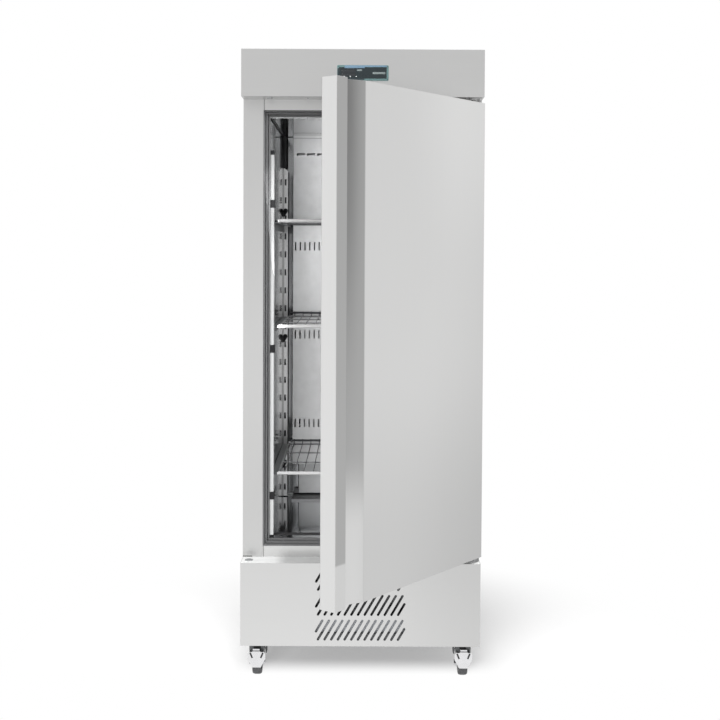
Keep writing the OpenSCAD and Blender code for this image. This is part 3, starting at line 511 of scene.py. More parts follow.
def block(x, half, ys, zs, edge):
    """A slab that reaches half to both sides of x, between two y in any order and two z."""
    return slab((x - half, min(ys), zs[0]), (x + half, max(ys), zs[1]), edge)


def leaning(shape, centre, angle):
    """Turns a shape about an axis from front to back through centre."""
    there = Matrix.Translation(centre)
    turn = there @ Matrix.Rotation(angle, 4, "Y") @ there.inverted()
    return [turn @ Vector(v) for v in shape[0]], shape[1]


def dress(node, material):
    """Gives a CAD node its finish."""
    mesh = frame["nodes"][node].data
    mesh.materials.clear()
    mesh.materials.append(material)


def mould(node, name, colour, roughness, *skin, **more):
    """Gives a CAD node a moulded or coated finish."""
    dress(node, moulded(name, colour, roughness, *skin, **more))


def soften(node, width):
    """Rounds the folds of a CAD node with modifiers, its own mesh left as it is."""
    part = frame["nodes"][node]
    weld = part.modifiers.new("weld", "WELD")
    weld.merge_threshold = 0.00002
    bevel = part.modifiers.new("folds", "BEVEL")
    bevel.width = width
    bevel.segments = 2
    bevel.limit_method = "ANGLE"
    bevel.angle_limit = math.radians(40)
    bevel.use_clamp_overlap = True
    bevel.harden_normals = False
    normals = part.modifiers.new("shading", "WEIGHTED_NORMAL")
    normals.keep_sharp = False
    normals.weight = 100


# What a user would change

class FreezerFinishes(bpy.types.PropertyGroup):
    steel: FloatVectorProperty(
        name="Steel", description="Colour of the brushed stainless steel",
        default=(0.765, 0.765, 0.76), subtype="COLOR", min=0, max=1)
    steel_roughness: FloatProperty(
        name="Steel roughness", description="How satin the brushed steel is",
        default=0.33, subtype="FACTOR", min=0.05, max=1)
    liner_roughness: FloatProperty(
        name="Liner roughness", description="How much the liner blurs what it mirrors",
        default=0.09, subtype="FACTOR", min=0.02, max=1)
    breaker: FloatVectorProperty(
        name="Breaker", description="Colour of the plastic that lines the door opening",
        default=(0.075, 0.076, 0.077), subtype="COLOR", min=0, max=1)
    bezel: FloatVectorProperty(
        name="Bezel", description="Colour of the control panel's frame",
        default=(0.067, 0.117, 0.117), subtype="COLOR", min=0, max=1)
    band: FloatVectorProperty(
        name="Band", description="Colour of the band along the top of the control panel",
        default=(0.083, 0.138, 0.19), subtype="COLOR", min=0, max=1)
    overlay: FloatVectorProperty(
        name="Overlay", description="Colour of the control panel's face",
        default=(0.009, 0.014, 0.016), subtype="COLOR", min=0, max=1)
    lamp_strength: FloatProperty(
        name="Lamp strength", description="How brightly the lamp bar glows",
        default=0.08, min=0, soft_max=5)


class FreezerSizes(bpy.types.PropertyGroup):
    fold: FloatProperty(
        name="Fold radius", description="Outer radius of the sheet's folds",
        default=0.0018, unit="LENGTH", min=0.0002, max=0.006)
    screw: FloatProperty(
        name="Screw head", description="Radius of the panel screws' heads",
        default=0.0038, unit="LENGTH", min=0.001, max=0.008)
    dot: FloatProperty(
        name="Key mark", description="Radius of the white marks on the control panel",
        default=0.0013, unit="LENGTH", min=0.0005, max=0.004)


class FreezerStage(bpy.types.PropertyGroup):
    floor: FloatVectorProperty(
        name="Floor", description="Colour of the floor",
        default=(0.95, 0.95, 0.95), subtype="COLOR", min=0, max=1)
    front_light: FloatProperty(
        name="Front light", description="Brightness of the room in front of the door",
        default=0.64, min=0, max=1)
    right_light: FloatProperty(
        name="Right light", description="Brightness of the room at the front right",
        default=0.3, min=0, max=1)
    back_light: FloatProperty(
        name="Back light", description="Brightness of the room behind the freezer",
        default=0.66, min=0, max=1)
    soft_light: FloatProperty(
        name="Soft light", description="Brightness of the room on matt surfaces",
        default=0.55, min=0, max=1)
    lamp_power: FloatProperty(
        name="Softbox", description="Power of the large lamp at the upper left",
        default=190.0, unit="POWER", min=0)
    fill_power: FloatProperty(
        name="Fill", description="Power of the lamp that shines in through the open door",
        default=165.0, unit="POWER", min=0)
    tube_power: FloatProperty(
        name="Tube", description="Power of the light that the lamp bar throws into the cabinet",
        default=0.5, unit="POWER", min=0)


# Operators

class FREEZER_OT_stage(bpy.types.Operator):
    """Camera, floor, room light and three soft lamps"""
    bl_idname = "freezer.stage"
    bl_label = "Stage"

    def execute(self, context):
        scene = context.scene
        settings = scene.freezer_stage
        scene.view_settings.view_transform = "Standard"
        self.camera(scene)
        self.floor(scene, settings)
        self.room(scene, settings)
        self.lamp("softbox", (-0.4, -3.6, 3.8), (0, -0.6, 0.2), (3.0, 1.4), settings.lamp_power)
        self.lamp("fill", (-0.8, -5.0, 1.0), (0, -0.1, 1.2), (1.5, 1.0), settings.fill_power)
        self.lamp("tube", (-0.25, -0.69, 1.02), (0.1, -0.1, 1.12), (0.02, 1.1), settings.tube_power)
        return {"FINISHED"}

    def camera(self, scene):
        data = bpy.data.cameras.new("camera")
        data.sensor_width = 36
        data.lens = CAMERA_LENS
        data.shift_y = CAMERA_SHIFT
        data.clip_end = 200
        camera = bpy.data.objects.new("camera", data)
        pitch = Matrix.Rotation(math.pi / 2 + CAMERA_PITCH, 4, "X")
        aim = pitch @ Matrix.Rotation(CAMERA_ROLL, 4, "Z")
        camera.matrix_world = Matrix.Translation(CAMERA_PLACE) @ aim
        scene.collection.objects.link(camera)
        scene.camera = camera

    def floor(self, scene, settings):
        """Pale floor that keeps the shadow near the freezer and is plain white further out."""
        corners = [(-60, -60, 0), (60, -60, 0), (60, 60, 0), (-60, 60, 0)]
        mesh = mesh_of("floor", [(corners, [[0, 1, 2, 3]])])
        material = bpy.data.materials.new("floor")
        material.use_nodes = True
        n = Nodes(material.node_tree)
        paint = n.add("ShaderNodeBsdfDiffuse", {}, {"Color": tuple(settings.floor)})
        white = n.add("ShaderNodeEmission", {}, {"Color": (1, 1, 1), "Strength": 1.0})
        away = n.vectors("DISTANCE", n.place(), (0, -0.45, 0), "Value")
        ahead = 1.0 - n.axis(n.place(), "Y").between(-0.74, -0.58)
        far = away.between(0.55, 1.15).maths("MAXIMUM", ahead) * 0.75 + 0.25
        both = n.add("ShaderNodeMixShader", {}, {0: self.seen(n) * far, 1: paint, 2: white})
        n.add("ShaderNodeOutputMaterial", {}, {"Surface": both})
        mesh.materials.append(material)
        floor = bpy.data.objects.new("floor", mesh)
        scene.collection.objects.link(floor)

    def seen(self, n):
        """1 where the camera, a mirror or glass looks, 0 for matt surfaces."""
        return n.ray("Camera") + n.ray("Glossy") + n.ray("Transmission")

    def room(self, scene, settings):
        """White room, darker in front of the door and behind, and darkest at the front right."""
        world = bpy.data.worlds.new("room")
        scene.world = world
        world.use_nodes = True
        n = Nodes(world.node_tree)
        way = n.add("ShaderNodeTexCoord", out="Generated")
        front = (n.axis(way, "Y") * -1.0).between(0.25, 0.95)
        low = 1.0 - n.axis(way, "Z").between(0.15, 0.7)
        dark_way = (0.84, -0.545, 0.0)
        corner = n.vectors("DOT_PRODUCT", way, dark_way, "Value").between(0.72, 0.97)
        level = 1.0 - front * low * (1.0 - settings.front_light)
        level = level * (1.0 - corner * low * (1.0 - settings.right_light))
        level = level * (1.0 - n.axis(way, "Y").between(0.4, 0.8) * (1.0 - settings.back_light))
        direct = n.ray("Camera")
        level = level * (1.0 - direct) + direct
        matt = 1.0 - self.seen(n)
        level = level * (1.0 - matt) + matt * settings.soft_light
        background = n.add("ShaderNodeBackground", {}, {"Color": (1, 1, 1), "Strength": level})
        n.add("ShaderNodeOutputWorld", {}, {"Surface": background})

    def lamp(self, name, place, target, size, power):
        """A soft lamp that lights matt surfaces and isn't mirrored."""
        data = bpy.data.lights.new(name, "AREA")
        data.shape = "RECTANGLE"
        data.size, data.size_y = size
        data.energy = power
        lamp = bpy.data.objects.new(name, data)
        aim = (Vector(target) - Vector(place)).to_track_quat("-Z", "Y").to_matrix().to_4x4()
        lamp.matrix_world = Matrix.Translation(place) @ aim
        lamp.visible_glossy = False
        bpy.context.scene.collection.objects.link(lamp)


class FREEZER_OT_panels(bpy.types.Operator):
    """Brushed steel of the cabinet, the fascia and the plinth, with their folds"""
    bl_idname = "freezer.panels"
    bl_label = "Outer panels"

    def execute(self, context):
        look = context.scene.freezer_finishes

        def steel(name, along, shade=None):
            return brushed_steel(name, look.steel, look.steel_roughness, along, shade=shade)

        upright = steel("steel_upright", "Z", self.side_shade)
        level = steel("steel_level", "X")
        for node in ("side_panel_left", "side_panel_right", "plinth_sides"):
            dress(node, upright)
        for node in ("door_frame_rails", "roof_panel"):
            dress(node, level)
        dress("rear_panel", steel("steel_rear", "Z", self.panel_screws))
        dress("fascia", steel("steel_fascia", "X", self.fascia_shade))
        dress("plinth_front", steel("steel_plinth", "X", self.plinth_shade))
        mould("plinth_deck", "ledge_lacquer", (0.84, 0.845, 0.84), 0.4, shade=self.ledge_shade)
        zinc = plated("galvanised", (0.52, 0.53, 0.54), 0.42, 0.9, self.grille_screws)
        dress("rear_grille", zinc)
        for node in ("fascia", "side_panel_left", "side_panel_right"):
            soften(node, context.scene.freezer_sizes.fold)
        self.seams()
        return {"FINISHED"}

    def fascia_shade(self, n, at):
        """Painted shade on the fascia's underside."""
        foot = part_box("fascia")[0].z
        return (1.0 - n.axis(at, "Z").between(foot + 0.0004, foot + 0.0012)) * 0.34

    def plinth_shade(self, n, at):
        """Painted shade on the plinth: a little all over, more on the right below the open door, less towards its
        foot.
        """
        low = 1.0 - n.axis(at, "Z").between(0.1, 0.37, False)
        return n.axis(at, "X").between(-0.1, 0.42) * 0.14 - low * 0.04 + 0.05

    def ledge_shade(self, n, at):
        """Painted shadow of the open door where it hangs over the ledge."""
        x = n.axis(at, "X")
        return (x.between(-0.268, -0.222) - x.between(0.32, 0.35)) * 0.42

    def side_shade(self, n, at):
        """Painted shade: the stiles a little darker towards their feet."""
        return (1.0 - n.axis(at, "Z").between(0.45, 1.1)) * 0.12

    def panel_screws(self, n, at):
        return self.flush_screws(n, at, "rear_panel", 0.03, 5)

    def grille_screws(self, n, at):
        return self.flush_screws(n, at, "rear_grille", 0.012, 1)

    def flush_screws(self, n, at, node, margin, steps):
        """Flush screw heads along both edges and the middle of a rear cover."""
        low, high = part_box(node)
        radius = bpy.context.scene.freezer_sizes.screw
        column = high.x - 0.012
        row = (high.z - low.z - 2 * margin) / steps
        x = n.axis(at, "X").maths("PINGPONG", column / 2)
        z = (n.axis(at, "Z") - (low.z + margin)).maths("PINGPONG", row / 2)
        away = (x * x + z * z) ** 0.5
        head = 1.0 - away.between(radius, radius + 0.0004)
        face = away.between(radius - 0.0009, radius - 0.0005)
        # The drive recess is painted darker, as its shade.
        recess = away.between(radius * 0.3, radius * 0.3 + 0.0004)
        return head * (0.75 - (recess - face) * 0.5)

    def seams(self):
        """Dark joints between stiles and rails, and painted shadow in the gap under the left stile's foot."""
        low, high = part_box("door_frame_rails")
        depth = (low.y - 0.0002, low.y + 0.001)
        lines = []
        for x in (-STILE_X, STILE_X):
            for heights in ((low.z, OPENING_FOOT), (OPENING_HEAD, high.z)):
                lines.append(block(x, 0.0006, depth, heights, 0.0001))
        # Painted shadow in the gap under the left stile's foot.
        foot_low = (-0.3645, low.y - 0.0004, low.z + 0.0002)
        foot_high = (-0.336, low.y + 0.001, low.z + 0.003)
        lines.append(slab(foot_low, foot_high, 0.0001))
        shadow = moulded("seam_shadow", (0.03, 0.03, 0.03), 0.7)
        new_piece("frame_seams", lines, "cabinet", shadow)


class FREEZER_OT_fasteners(bpy.types.Operator):
    """Screws of the hinge bracket"""
    bl_idname = "freezer.fasteners"
    bl_label = "Screws"

    def execute(self, context):
        steel = brushed_steel("screw_steel", (0.3, 0.3, 0.3), 0.35, "Z", 0.1)
        low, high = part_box("hinge_bracket_top")
        heads = []
        for side in (-1, 1):
            x = (low.x + high.x) / 2 + side * 0.009
            centre = (x, high.y - 0.004, high.z - 0.013)
            heads.append(screw_head(centre, (0, -1, 0), 0.0045, 0.0025))
        new_piece("bracket_screws", heads, "cabinet", steel)
        return {"FINISHED"}


class FREEZER_OT_control_panel(bpy.types.Operator):
    """Control panel: coloured frame, top band, glossy window, corner screws and key marks"""
    bl_idname = "freezer.control_panel"
    bl_label = "Control panel"

    def execute(self, context):
        look = context.scene.freezer_finishes
        mould("control_bezel", "bezel_plastic", look.bezel, 0.35)
        mould("control_overlay", "overlay_film", look.overlay, 0.3, 1200.0, 0.00001)
        mould("controller_box", "controller_black", (0.02, 0.02, 0.02), 0.5)
        low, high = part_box("control_bezel")
        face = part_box("control_overlay")[0]
        middle = (low.z + high.z) / 2
        self.films(look, low, high, face.y)
        self.window(face, middle)
        self.screws(low, high)
        self.marks(context.scene.freezer_sizes.dot, face.y, middle)
        return {"FINISHED"}

    def films(self, look, low, high, face_y):
        """The band along the top, and dark strips at the left and along the foot; the left strip is painted shade
        on the frame's rim.
        """

        def film(x0, x1, z0, z1):
            return slab((x0, low.y - 0.0003, z0), (x1, face_y + 0.0002, z1), 0.0001)

        rim = 0.0008
        step = low.x + 0.0825
        corner = low.x + 0.0068
        band = [
            film(low.x + 0.022, step, high.z - 0.009, high.z - rim),
            film(step + 0.0001, high.x - 0.0055, high.z - 0.0055, high.z - rim),
        ]
        strips = [
            # Painted shade on the frame's left rim.
            film(low.x + rim, corner, low.z + rim, high.z - 0.009),
            film(corner, 0.004, low.z + 0.0022, low.z + 0.0062),
        ]
        band_print = moulded("band_print", look.band, 0.4)
        edge_film = moulded("edge_film", tinted(look.overlay, 1.6), 0.3, 1200.0, 0.00001)
        new_piece("panel_band", band, "cabinet", band_print)
        new_piece("panel_edge", strips, "cabinet", edge_film)

    def window(self, face, middle):
        """Glossy window, set back in the overlay."""
        left = face.x + 0.0062
        glass = slab(
            (left, face.y + 0.0007, middle - 0.0098),
            (left + 0.0424, face.y + 0.0012, middle + 0.0098), 0.0001)
        glossy = moulded("window_glass", (0.008, 0.01, 0.012), 0.2, 300.0, 0.000002, 0.4)
        new_piece("panel_window", [glass], "cabinet", glossy)

    def screws(self, low, high):
        """A screw in each corner of the frame."""
        inset = 0.0045
        heads = []
        for x in (low.x + inset, high.x - inset):
            for z in (low.z + inset, high.z - inset):
                heads.append(screw_head((x, low.y + 0.0004, z), (0, -1, 0), 0.0025, 0.0004))
        dark = moulded("panel_screw_black", (0.02, 0.02, 0.022), 0.45)
        new_piece("panel_screws", heads, "cabinet", dark)

    def marks(self, dot, face_y, middle):
        """Three pale dots and two plain grey bars."""
        profile = [(dot, 0.0), (dot * 0.9, 0.0004), (dot * 0.05, 0.0005)]
        dots = []
        for x in (-0.0561, -0.0381, -0.0196):
            dots.append(lathe(profile, (x, face_y + 0.0001, middle - 0.0109), (0, -1, 0), 16))
        white = moulded("mark_white", (0.8, 0.82, 0.82), 0.5)
        new_piece("panel_marks", dots, "cabinet", white)
        depth = (face_y - 0.0003, face_y + 0.0002)
        bars = [
            block(0.048, 0.019, depth, (middle - 0.0035, middle + 0.0025), 0.0001),
            block(-0.01025, 0.00725, depth, (middle + 0.0055, middle + 0.0105), 0.0001),
        ]
        grey = moulded("mark_grey", (0.12, 0.14, 0.14), 0.5)
        new_piece("panel_bars", bars, "cabinet", grey)


class FREEZER_OT_interior(bpy.types.Operator):
    """Mirror-bright liner, breaker, uprights, runners, lamp, duct panel and what sits behind it"""
    bl_idname = "freezer.interior"
    bl_label = "Interior"

    def execute(self, context):
        look = context.scene.freezer_finishes
        liner_colour = (0.66, 0.67, 0.68)
        mirror = polished_steel("liner_steel", liner_colour, look.liner_roughness, self.corner_shade)
        dress("liner", mirror)
        mould("thermal_breaker", "breaker_plastic", look.breaker, 0.38, shade=self.lintel_shade)
        dress("cabinet_insulation", foam_finish("cabinet_foam", RECORD_COLOUR["foam"]))
        uprights = brushed_steel("upright_steel", (0.72, 0.72, 0.72), 0.28, shade=self.upright_shade)
        dress("shelf_uprights", uprights)
        mould("upright_knobs", "knob_black", (0.010, 0.010, 0.011), 0.65)
        mould("shelf_runners", "runner_coat", (0.12, 0.125, 0.13), 0.42)
        dress("lamp_bar", glowing_tube("lamp_cover", (0.33, 0.335, 0.335), look.lamp_strength))
        mould("lamp_clips", "clip_black", (0.010, 0.010, 0.011), 0.7)
        mould("duct_panel", "duct_panel", (0.86, 0.865, 0.87), 0.42, 500.0, shade=self.duct_shade)
        dress("evaporator_coil", brushed_steel("coil_fins", (0.3, 0.3, 0.3), 0.5, "Z", 0.2))
        mould("evaporator_fan_frame", "fan_frame_plastic", (0.06, 0.06, 0.062), 0.5)
        mould("evaporator_fan", "fan_blades", (0.03, 0.03, 0.03), 0.45)
        trough = brushed_steel("trough_steel", (0.5, 0.5, 0.51), 0.3, "X", shade=self.trough_shade)
        dress("drain_trough", trough)
        mould("air_probe", "probe_white", (0.75, 0.75, 0.74), 0.45)
        self.louvre_lips()
        self.cable_cover()
        sealant = moulded("sealant", (0.42, 0.43, 0.43), 0.45)
        self.joint_lines(sealant)
        self.rear_trim(sealant)
        return {"FINISHED"}

    def upright_shade(self, n, at):
        """Painted shade on the uprights' folds beside the walls."""
        return abs(n.axis(at, "X")).between(WALL_X - 0.004, WALL_X - 0.0034) * 0.45

    def duct_shade(self, n, at):
        """Painted shade on the duct panel: towards its foot, at its very top and on its sides."""
        height = n.axis(at, "Z")
        edge = abs(n.axis(at, "X")).between(DUCT_X + 0.0003, DUCT_X + 0.0009) * 0.6
        top = height.between(1.67, 1.73) * 0.14
        foot = (1.0 - height.between(1.0, 1.6)) * 0.43
        return (foot + top).maths("MAXIMUM", edge)

    def corner_shade(self, n, at):
        """Painted shade on the liner beside and below the duct panel, and on its ceiling."""
        beside = abs(n.axis(at, "X")).between(DUCT_X + 0.0005, DUCT_X + 0.0045)
        rear = n.axis(at, "Y").between(REAR_Y - 0.012, REAR_Y - 0.001)
        height = n.axis(at, "Z")
        ceiling = height.between(CEILING_Z - 0.012, CEILING_Z - 0.001)
        foot = (1.0 - height.between(0.54, 0.62)) * rear * 0.2
        corner = beside * rear * 0.55
        return corner.maths("MAXIMUM", ceiling * 0.36).maths("MAXIMUM", foot)

    def trough_shade(self, n, at):
        """Painted shade inside the drain trough, behind its front lip."""
        lip_y = -0.178
        return n.axis(at, "Y").between(lip_y - 0.0005, lip_y + 0.0005) * 0.9

    def lintel_shade(self, n, at):
        """Painted shade on the breaker along the top of the opening."""
        return n.axis(at, "Z").between(CEILING_Z - 0.002, CEILING_Z + 0.004) * 0.32

    def cable_cover(self):
        """Painted shade: dark strips in the ceiling's left corner, then down the left wall above the rear upright.
        """
        x = -WALL_X
        z = CEILING_Z
        parts = [
            slab((x + 0.0004, MOUTH_Y + 0.004, z - 0.0045), (x + 0.0045, -0.112, z - 0.0004), 0.001),
            slab((x + 0.0004, -0.116, 1.62), (x + 0.012, -0.106, z - 0.0004), 0.0015),
        ]
        black = moulded("cover_black", (0.036, 0.038, 0.039), 0.5)
        new_piece("cable_cover", parts, "cabinet", black)

    def joint_lines(self, sealant):
        """Folded joints of the liner, a dark strip across its floor painted as the shadow of a step, and the bead
        on its ceiling.
        """
        ceiling = CEILING_Z - GAP
        wall = REAR_Y - GAP
        dark = [
            block(0, WALL_X, (REAR_Y - 0.0012, wall), (CEILING_Z - 0.002, ceiling), GAP),
            # Painted shadow of a step across the floor.
            block(0, WALL_X, (-0.684, -0.656), (FLOOR_Z + GAP, FLOOR_Z + 0.0014), GAP),
        ]
        for side in (-1, 1):
            x = side * (PLATE_X + 0.0016)
            heights = (FLOOR_Z + 0.007, PLATE_TOP)
            dark.append(block(x, 0.0014, (REAR_Y - 0.001, wall), heights, GAP))
        shadow = moulded("joint_shadow", (0.035, 0.035, 0.036), 0.6)
        new_piece("liner_joints", dark, "cabinet", shadow)
        mouth = (MOUTH_Y + 0.0005, MOUTH_Y + 0.002)
        bead = block(0, WALL_X, mouth, (CEILING_Z - 0.0022, ceiling), GAP)
        new_piece("ceiling_bead", [bead], "cabinet", sealant)

    def rear_trim(self, sealant):
        """The plate and the bead below the duct panel, the panel's top fold, dark with painted shade, and its
        foot.
        """
        wall = REAR_Y - GAP
        plate = block(0, PLATE_X, (REAR_Y - 0.0012, wall), (FLOOR_Z + 0.0065, PLATE_TOP), GAP)
        grey = moulded("rear_plate", (0.52, 0.525, 0.53), 0.4)
        new_piece("rear_plate", [plate], "cabinet", grey)
        bead_z = (FLOOR_Z + GAP, FLOOR_Z + 0.0058)
        bead = block(0, WALL_X - 0.001, (REAR_Y - 0.0029, wall), bead_z, GAP)
        new_piece("trough_bead", [bead], "cabinet", sealant)
        # Painted shade in the duct panel's top fold.
        fold = block(0, DUCT_X, (DUCT_Y - 0.0004, DUCT_Y + 0.0002), (1.7244, 1.7259), GAP)
        fold_shade = moulded("duct_crease", (0.2, 0.2, 0.2), 0.6)
        new_piece("duct_fold", [fold], "cabinet", fold_shade)
        foot_z = (PLATE_TOP + 0.0012, PLATE_TOP + 0.0024)
        foot = block(0, DUCT_X, (DUCT_Y + 0.0018, REAR_Y - 0.0006), foot_z, GAP)
        steel = polished_steel("duct_foot", (0.75, 0.76, 0.77), 0.2)
        new_piece("duct_foot", [foot], "cabinet", steel)

    def louvre_lips(self):
        """A small hood over each louvre of the duct panel, and a lip below it."""
        low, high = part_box("duct_panel")
        count = 13
        pitch = (high.x - low.x) / (count + 0.46)
        z = high.z - 0.067
        hood_y = (low.y - 0.003, low.y + 0.0005)
        lips = []
        for i in range(count):
            x = (i - count // 2) * pitch
            lips.append(block(x, 0.0145, hood_y, (z + 0.0035, z + 0.005), 0.0005))
            lip_low = (x - 0.0095, low.y - 0.002, z - 0.0052)
            lips.append(slab(lip_low, (x + 0.0147, low.y - GAP, z - 0.0008), 0.0005))
        metal = moulded("louvre_paint", (0.7, 0.705, 0.71), 0.4)
        new_piece("louvre_lips", lips, "cabinet", metal)


class FREEZER_OT_shelves(bpy.types.Operator):
    """Wire shelves, the coats over their front bars and their rear stop bars"""
    bl_idname = "freezer.shelves"
    bl_label = "Shelves"

    def execute(self, context):
        dark = moulded("stop_bar", (0.05, 0.052, 0.055), 0.45)
        # Each shelf's coat gets its own grey, painted shade: darkest on the top shelf, palest on the bottom one.
        for node, tone in (("shelf_top", 0.2), ("shelf_middle", 0.29), ("shelf_bottom", 0.36)):
            low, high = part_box(node)
            rod_z = low.z + BAR_R
            reach = high.x - ROD_R
            dress(node, shelf_wire("wire_" + node, low.y + 2 * BAR_R - 0.0005, rod_z, WIRE_PITCH))
            white = moulded("coat_" + node, (tone, tone, tone), 0.4)
            coat = level_rod(reach, low.y + BAR_R, rod_z + 0.0009, COAT_R)
            new_piece(node + "_coat", [coat], node, white)
            stop_y = high.y - ROD_R
            bars = [level_rod(reach, stop_y, rod_z + 0.013, STOP_R)]
            for k in range(-8, 9):
                x = k * WIRE_PITCH
                bars.append(rod((x, stop_y, rod_z + 0.001), (x, stop_y, rod_z + 0.018), 0.0012))
            new_piece(node + "_stop", bars, node, dark)
        return {"FINISHED"}


class FREEZER_OT_door(bpy.types.Operator):
    """Door skin with its handle, the inner panel, gasket and insulation"""
    bl_idname = "freezer.door"
    bl_label = "Door"

    def execute(self, context):
        look = context.scene.freezer_finishes
        steel = brushed_steel(
            "door_steel", look.steel, look.steel_roughness, "Z", 0.04, self.door_shade)
        dress("door_skin", steel)
        soften("door_skin", context.scene.freezer_sizes.fold)
        dress("door_liner", brushed_steel("door_liner_steel", (0.72, 0.72, 0.72), 0.3, "Z"))
        dress("door_insulation", foam_finish("door_foam", RECORD_COLOUR["foam"]))
        mould("door_gasket", "gasket_rubber", (0.22, 0.23, 0.24), 0.6)
        return {"FINISHED"}

    def door_shade(self, n, at):
        """Painted shade on the door steel: on the handle's lip and in its recess, and towards the face's lower
        corner and foot. The lip is darker still above half a metre, and the face's upper right gets less shade.
        """
        inward = n.along(at, DOOR_EDGE, DOOR_WAY)
        height = n.axis(at, "Z")
        past_lip = inward.between(0.0435, 0.0445, False)
        past_recess = inward.between(0.119, 0.1225)
        lip = (height.between(0.504, 0.512) * 0.28 + 0.16) * inward.between(0.0008, 0.0012)
        recess = height.between(0.58, 0.8) * 0.34 + height.between(0.8, 1.7) * 0.05 + 0.08
        corner = (inward - height * 0.35).between(0.0, 0.75) * 0.14
        foot = (1.0 - height.between(0.5, 1.05)) * 0.11
        top = inward.between(0.25, 0.6) * height.between(1.25, 1.7) * 0.08
        face = corner + foot - top + 0.10
        return lip * (1.0 - past_lip) + recess * (past_lip - past_recess) + face * past_recess


class FREEZER_OT_hinges(bpy.types.Operator):
    """Hinge bracket, hinge block, bushes and the plugs over the spare holes"""
    bl_idname = "freezer.hinges"
    bl_label = "Hinges"

    def execute(self, context):
        dress("hinge_bracket_top", brushed_steel("hinge_steel", (0.6, 0.6, 0.6), 0.3, "X"))
        mould("hinge_block_bottom", "hinge_block", (0.17, 0.172, 0.174), 0.5)
        mould("blanking_plugs", "plug_plastic", (0.26, 0.265, 0.27), 0.7)
        mould("hinge_bushes", "bush_nylon", (0.6, 0.59, 0.55), 0.5)
        soften("hinge_bracket_top", 0.0008)
        return {"FINISHED"}


class FREEZER_OT_cooling_unit(bpy.types.Operator):
    """What shows through the grilles: tray, condenser, fans, compressor and pipes"""
    bl_idname = "freezer.cooling_unit"
    bl_label = "Cooling unit"

    def execute(self, context):
        mould("base_pan", "base_coat", (0.09, 0.092, 0.095), 0.55)
        dress("unit_tray", plated("tray_zinc", (0.6, 0.62, 0.65), 0.42, 0.6))
        mould("compressor", "compressor_paint", (0.018, 0.018, 0.02), 0.28, 400.0, 0.00005, 0.4)
        mould("condenser_coil", "condenser_black", (0.07, 0.072, 0.075), 0.5)
        dress("condenser_shroud", plated("shroud_zinc", (0.5, 0.51, 0.52), 0.4, 0.7))
        mould("condenser_fan_motor", "motor_grey", (0.2, 0.2, 0.21), 0.45)
        mould("condenser_fan", "condenser_blades", (0.03, 0.03, 0.03), 0.4)
        dress("pipework", brushed_steel("copper", (0.72, 0.35, 0.2), 0.3, "Z", 0.15))
        mould("evaporating_tray", "tray_plastic", (0.07, 0.07, 0.075), 0.5)
        mould("mains_inlet", "gland_black", (0.02, 0.02, 0.02), 0.5)
        return {"FINISHED"}


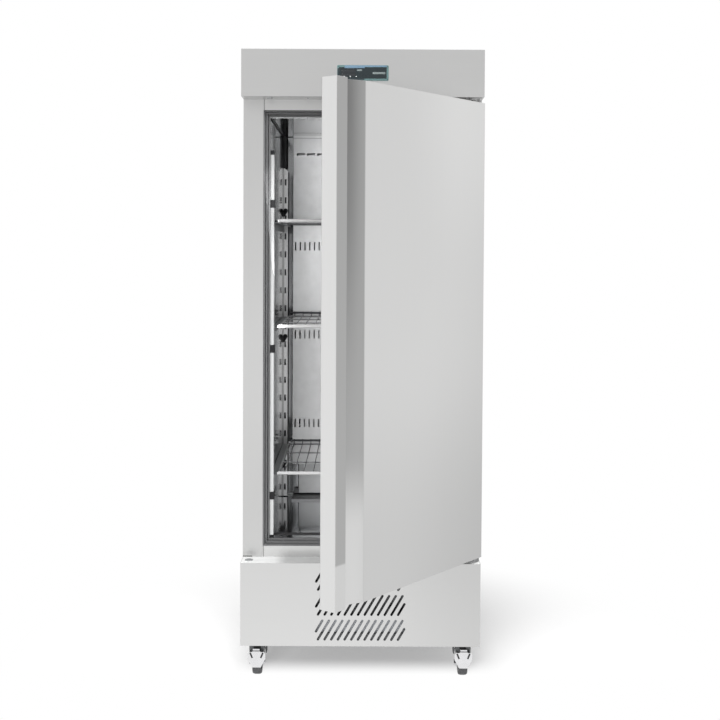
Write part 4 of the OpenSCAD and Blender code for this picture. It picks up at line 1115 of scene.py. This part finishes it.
class FREEZER_OT_castors(bpy.types.Operator):
    """Castors: plates, forks, hoods and tyres, and the pedals with their toes and marks"""
    bl_idname = "freezer.castors"
    bl_label = "Castors"

    def execute(self, context):
        self.wheels()
        self.hoods()
        self.pedals()
        return {"FINISHED"}

    def wheels(self):
        """Dark top plates and a dark crown over bright forks, both painted shade, and grey tyres."""
        # Painted shade on the forks above this height.
        crown_z = 0.062
        fork = plated_fork("castor_fork_zinc", (0.62, 0.62, 0.63), (0.13, 0.13, 0.135), crown_z)
        # Painted shade: the plates' dark grey.
        dress("castor_plates", plated("castor_plate_zinc", (0.1, 0.1, 0.105), 0.5))
        tyre = (0.05, 0.051, 0.053)
        hub = (0.3, 0.3, 0.3)
        for place in CASTORS:
            wheel = "castor_wheel_" + place
            low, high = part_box(wheel)
            hub_r = (high.z - low.z) / 2 * 0.74
            dress(wheel, castor_rubber("tyre_" + place, (low + high) / 2, tyre, hub, hub_r))
            dress("castor_fork_" + place, fork)

    def hoods(self):
        """A dark grey hood over each fork, with a black slot in its brow, which faces outwards; their darkness is
        painted shade of the fork's inside.
        """
        # Painted shade: the hood's dark grey and the slot's black.
        grey = moulded("hood_grey", (0.08, 0.083, 0.085), 0.5)
        black = moulded("hood_black", (0.008, 0.008, 0.008), 0.6)
        top_z = 0.0955
        for place in CASTORS:
            body = "castor_" + place
            x, y = SWIVELS[body][:2]
            way = -1 if place in FRONT else 1
            brow_y = y + way * 0.05
            step_y = y + way * 0.022
            hood = [
                block(x, 0.0222, (brow_y, step_y), (0.0885, top_z), 0.0004),
                block(x, 0.0255, (step_y, y - way * 0.018), (0.084, 0.0978), 0.002),
                block(x, 0.0222, (brow_y, brow_y - way * 0.002), (0.0757, 0.089), 0.0004),
            ]
            for side in (-1, 1):
                flap_y = (y - way * 0.016, y + way * 0.018)
                hood.append(block(x + side * 0.02565, 0.00185, flap_y, (0.060, top_z), 0.0008))
            slot_y = (brow_y + way * 0.0006, brow_y - way * 0.002)
            slot = block(x, 0.0105, slot_y, (0.0855, 0.0945), 0.0004)
            new_piece("castor_hood_" + place, hood, body, grey)
            new_piece("castor_hole_" + place, [slot], body, black)

    def pedals(self):
        """Bright brake pedals with a toe, two leaning marks, and a dark strip along the toe's foot painted as its
        shadow.
        """
        bright = plated("castor_zinc", (0.82, 0.82, 0.83), 0.22)
        for place in FRONT:
            node = "castor_pedal_" + place
            dress(node, bright)
            soften(node, 0.0006)
            low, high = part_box(node)
            x = (low.x + high.x) / 2
            face = low.y + 0.0101
            marks = []
            for side in (-1, 1):
                mark_x = x + side * 0.0165
                mark_y = (face - 0.0006, face + 0.0008)
                mark = block(mark_x, 0.0026, mark_y, (0.0625, 0.0805), 0.0004)
                marks.append(leaning(mark, (mark_x, face, 0.0715), side * 0.38))
            toe_back = low.y + 0.003
            # Painted shadow under the toe.
            marks.append(block(x, 0.0115, (low.y - 0.0002, toe_back), (0.0872, 0.0897), 0.0004))
            toe = block(x, 0.0105, (low.y, toe_back), (0.0895, 0.0955), 0.0008)
            dark = moulded("pedal_mark_" + place, (0.025, 0.025, 0.026), 0.6)
            body = "pedal_" + place
            new_piece("pedal_toe_" + place, [toe], body, bright)
            new_piece("pedal_marks_" + place, marks, body, dark)


OPERATORS = (
    FREEZER_OT_stage,
    FREEZER_OT_panels,
    FREEZER_OT_control_panel,
    FREEZER_OT_interior,
    FREEZER_OT_shelves,
    FREEZER_OT_door,
    FREEZER_OT_hinges,
    FREEZER_OT_cooling_unit,
    FREEZER_OT_castors,
    FREEZER_OT_fasteners,
)


class FREEZER_PT_panel(bpy.types.Panel):
    """Lists the freezer's operators and settings"""
    bl_idname = "FREEZER_PT_panel"
    bl_label = "Freezer"
    bl_space_type = "VIEW_3D"
    bl_region_type = "UI"
    bl_category = "Freezer"

    def draw(self, context):
        for operator in OPERATORS:
            self.layout.operator(operator.bl_idname)
        scene = context.scene
        for group in (scene.freezer_finishes, scene.freezer_sizes, scene.freezer_stage):
            for name in group.bl_rna.properties.keys():
                if name not in ("rna_type", "name"):
                    self.layout.prop(group, name)


CLASSES = (FreezerFinishes, FreezerSizes, FreezerStage, *OPERATORS, FREEZER_PT_panel)


def register():
    for cls in CLASSES:
        bpy.utils.register_class(cls)
    bpy.types.Scene.freezer_finishes = PointerProperty(type=FreezerFinishes)
    bpy.types.Scene.freezer_sizes = PointerProperty(type=FreezerSizes)
    bpy.types.Scene.freezer_stage = PointerProperty(type=FreezerStage)


def unregister():
    del bpy.types.Scene.freezer_stage
    del bpy.types.Scene.freezer_sizes
    del bpy.types.Scene.freezer_finishes
    for cls in reversed(CLASSES):
        bpy.utils.unregister_class(cls)


def main():
    register()
    for operator in OPERATORS:
        group, name = operator.bl_idname.split(".")
        getattr(getattr(bpy.ops, group), name)()


if __name__ == "__main__":
    main()
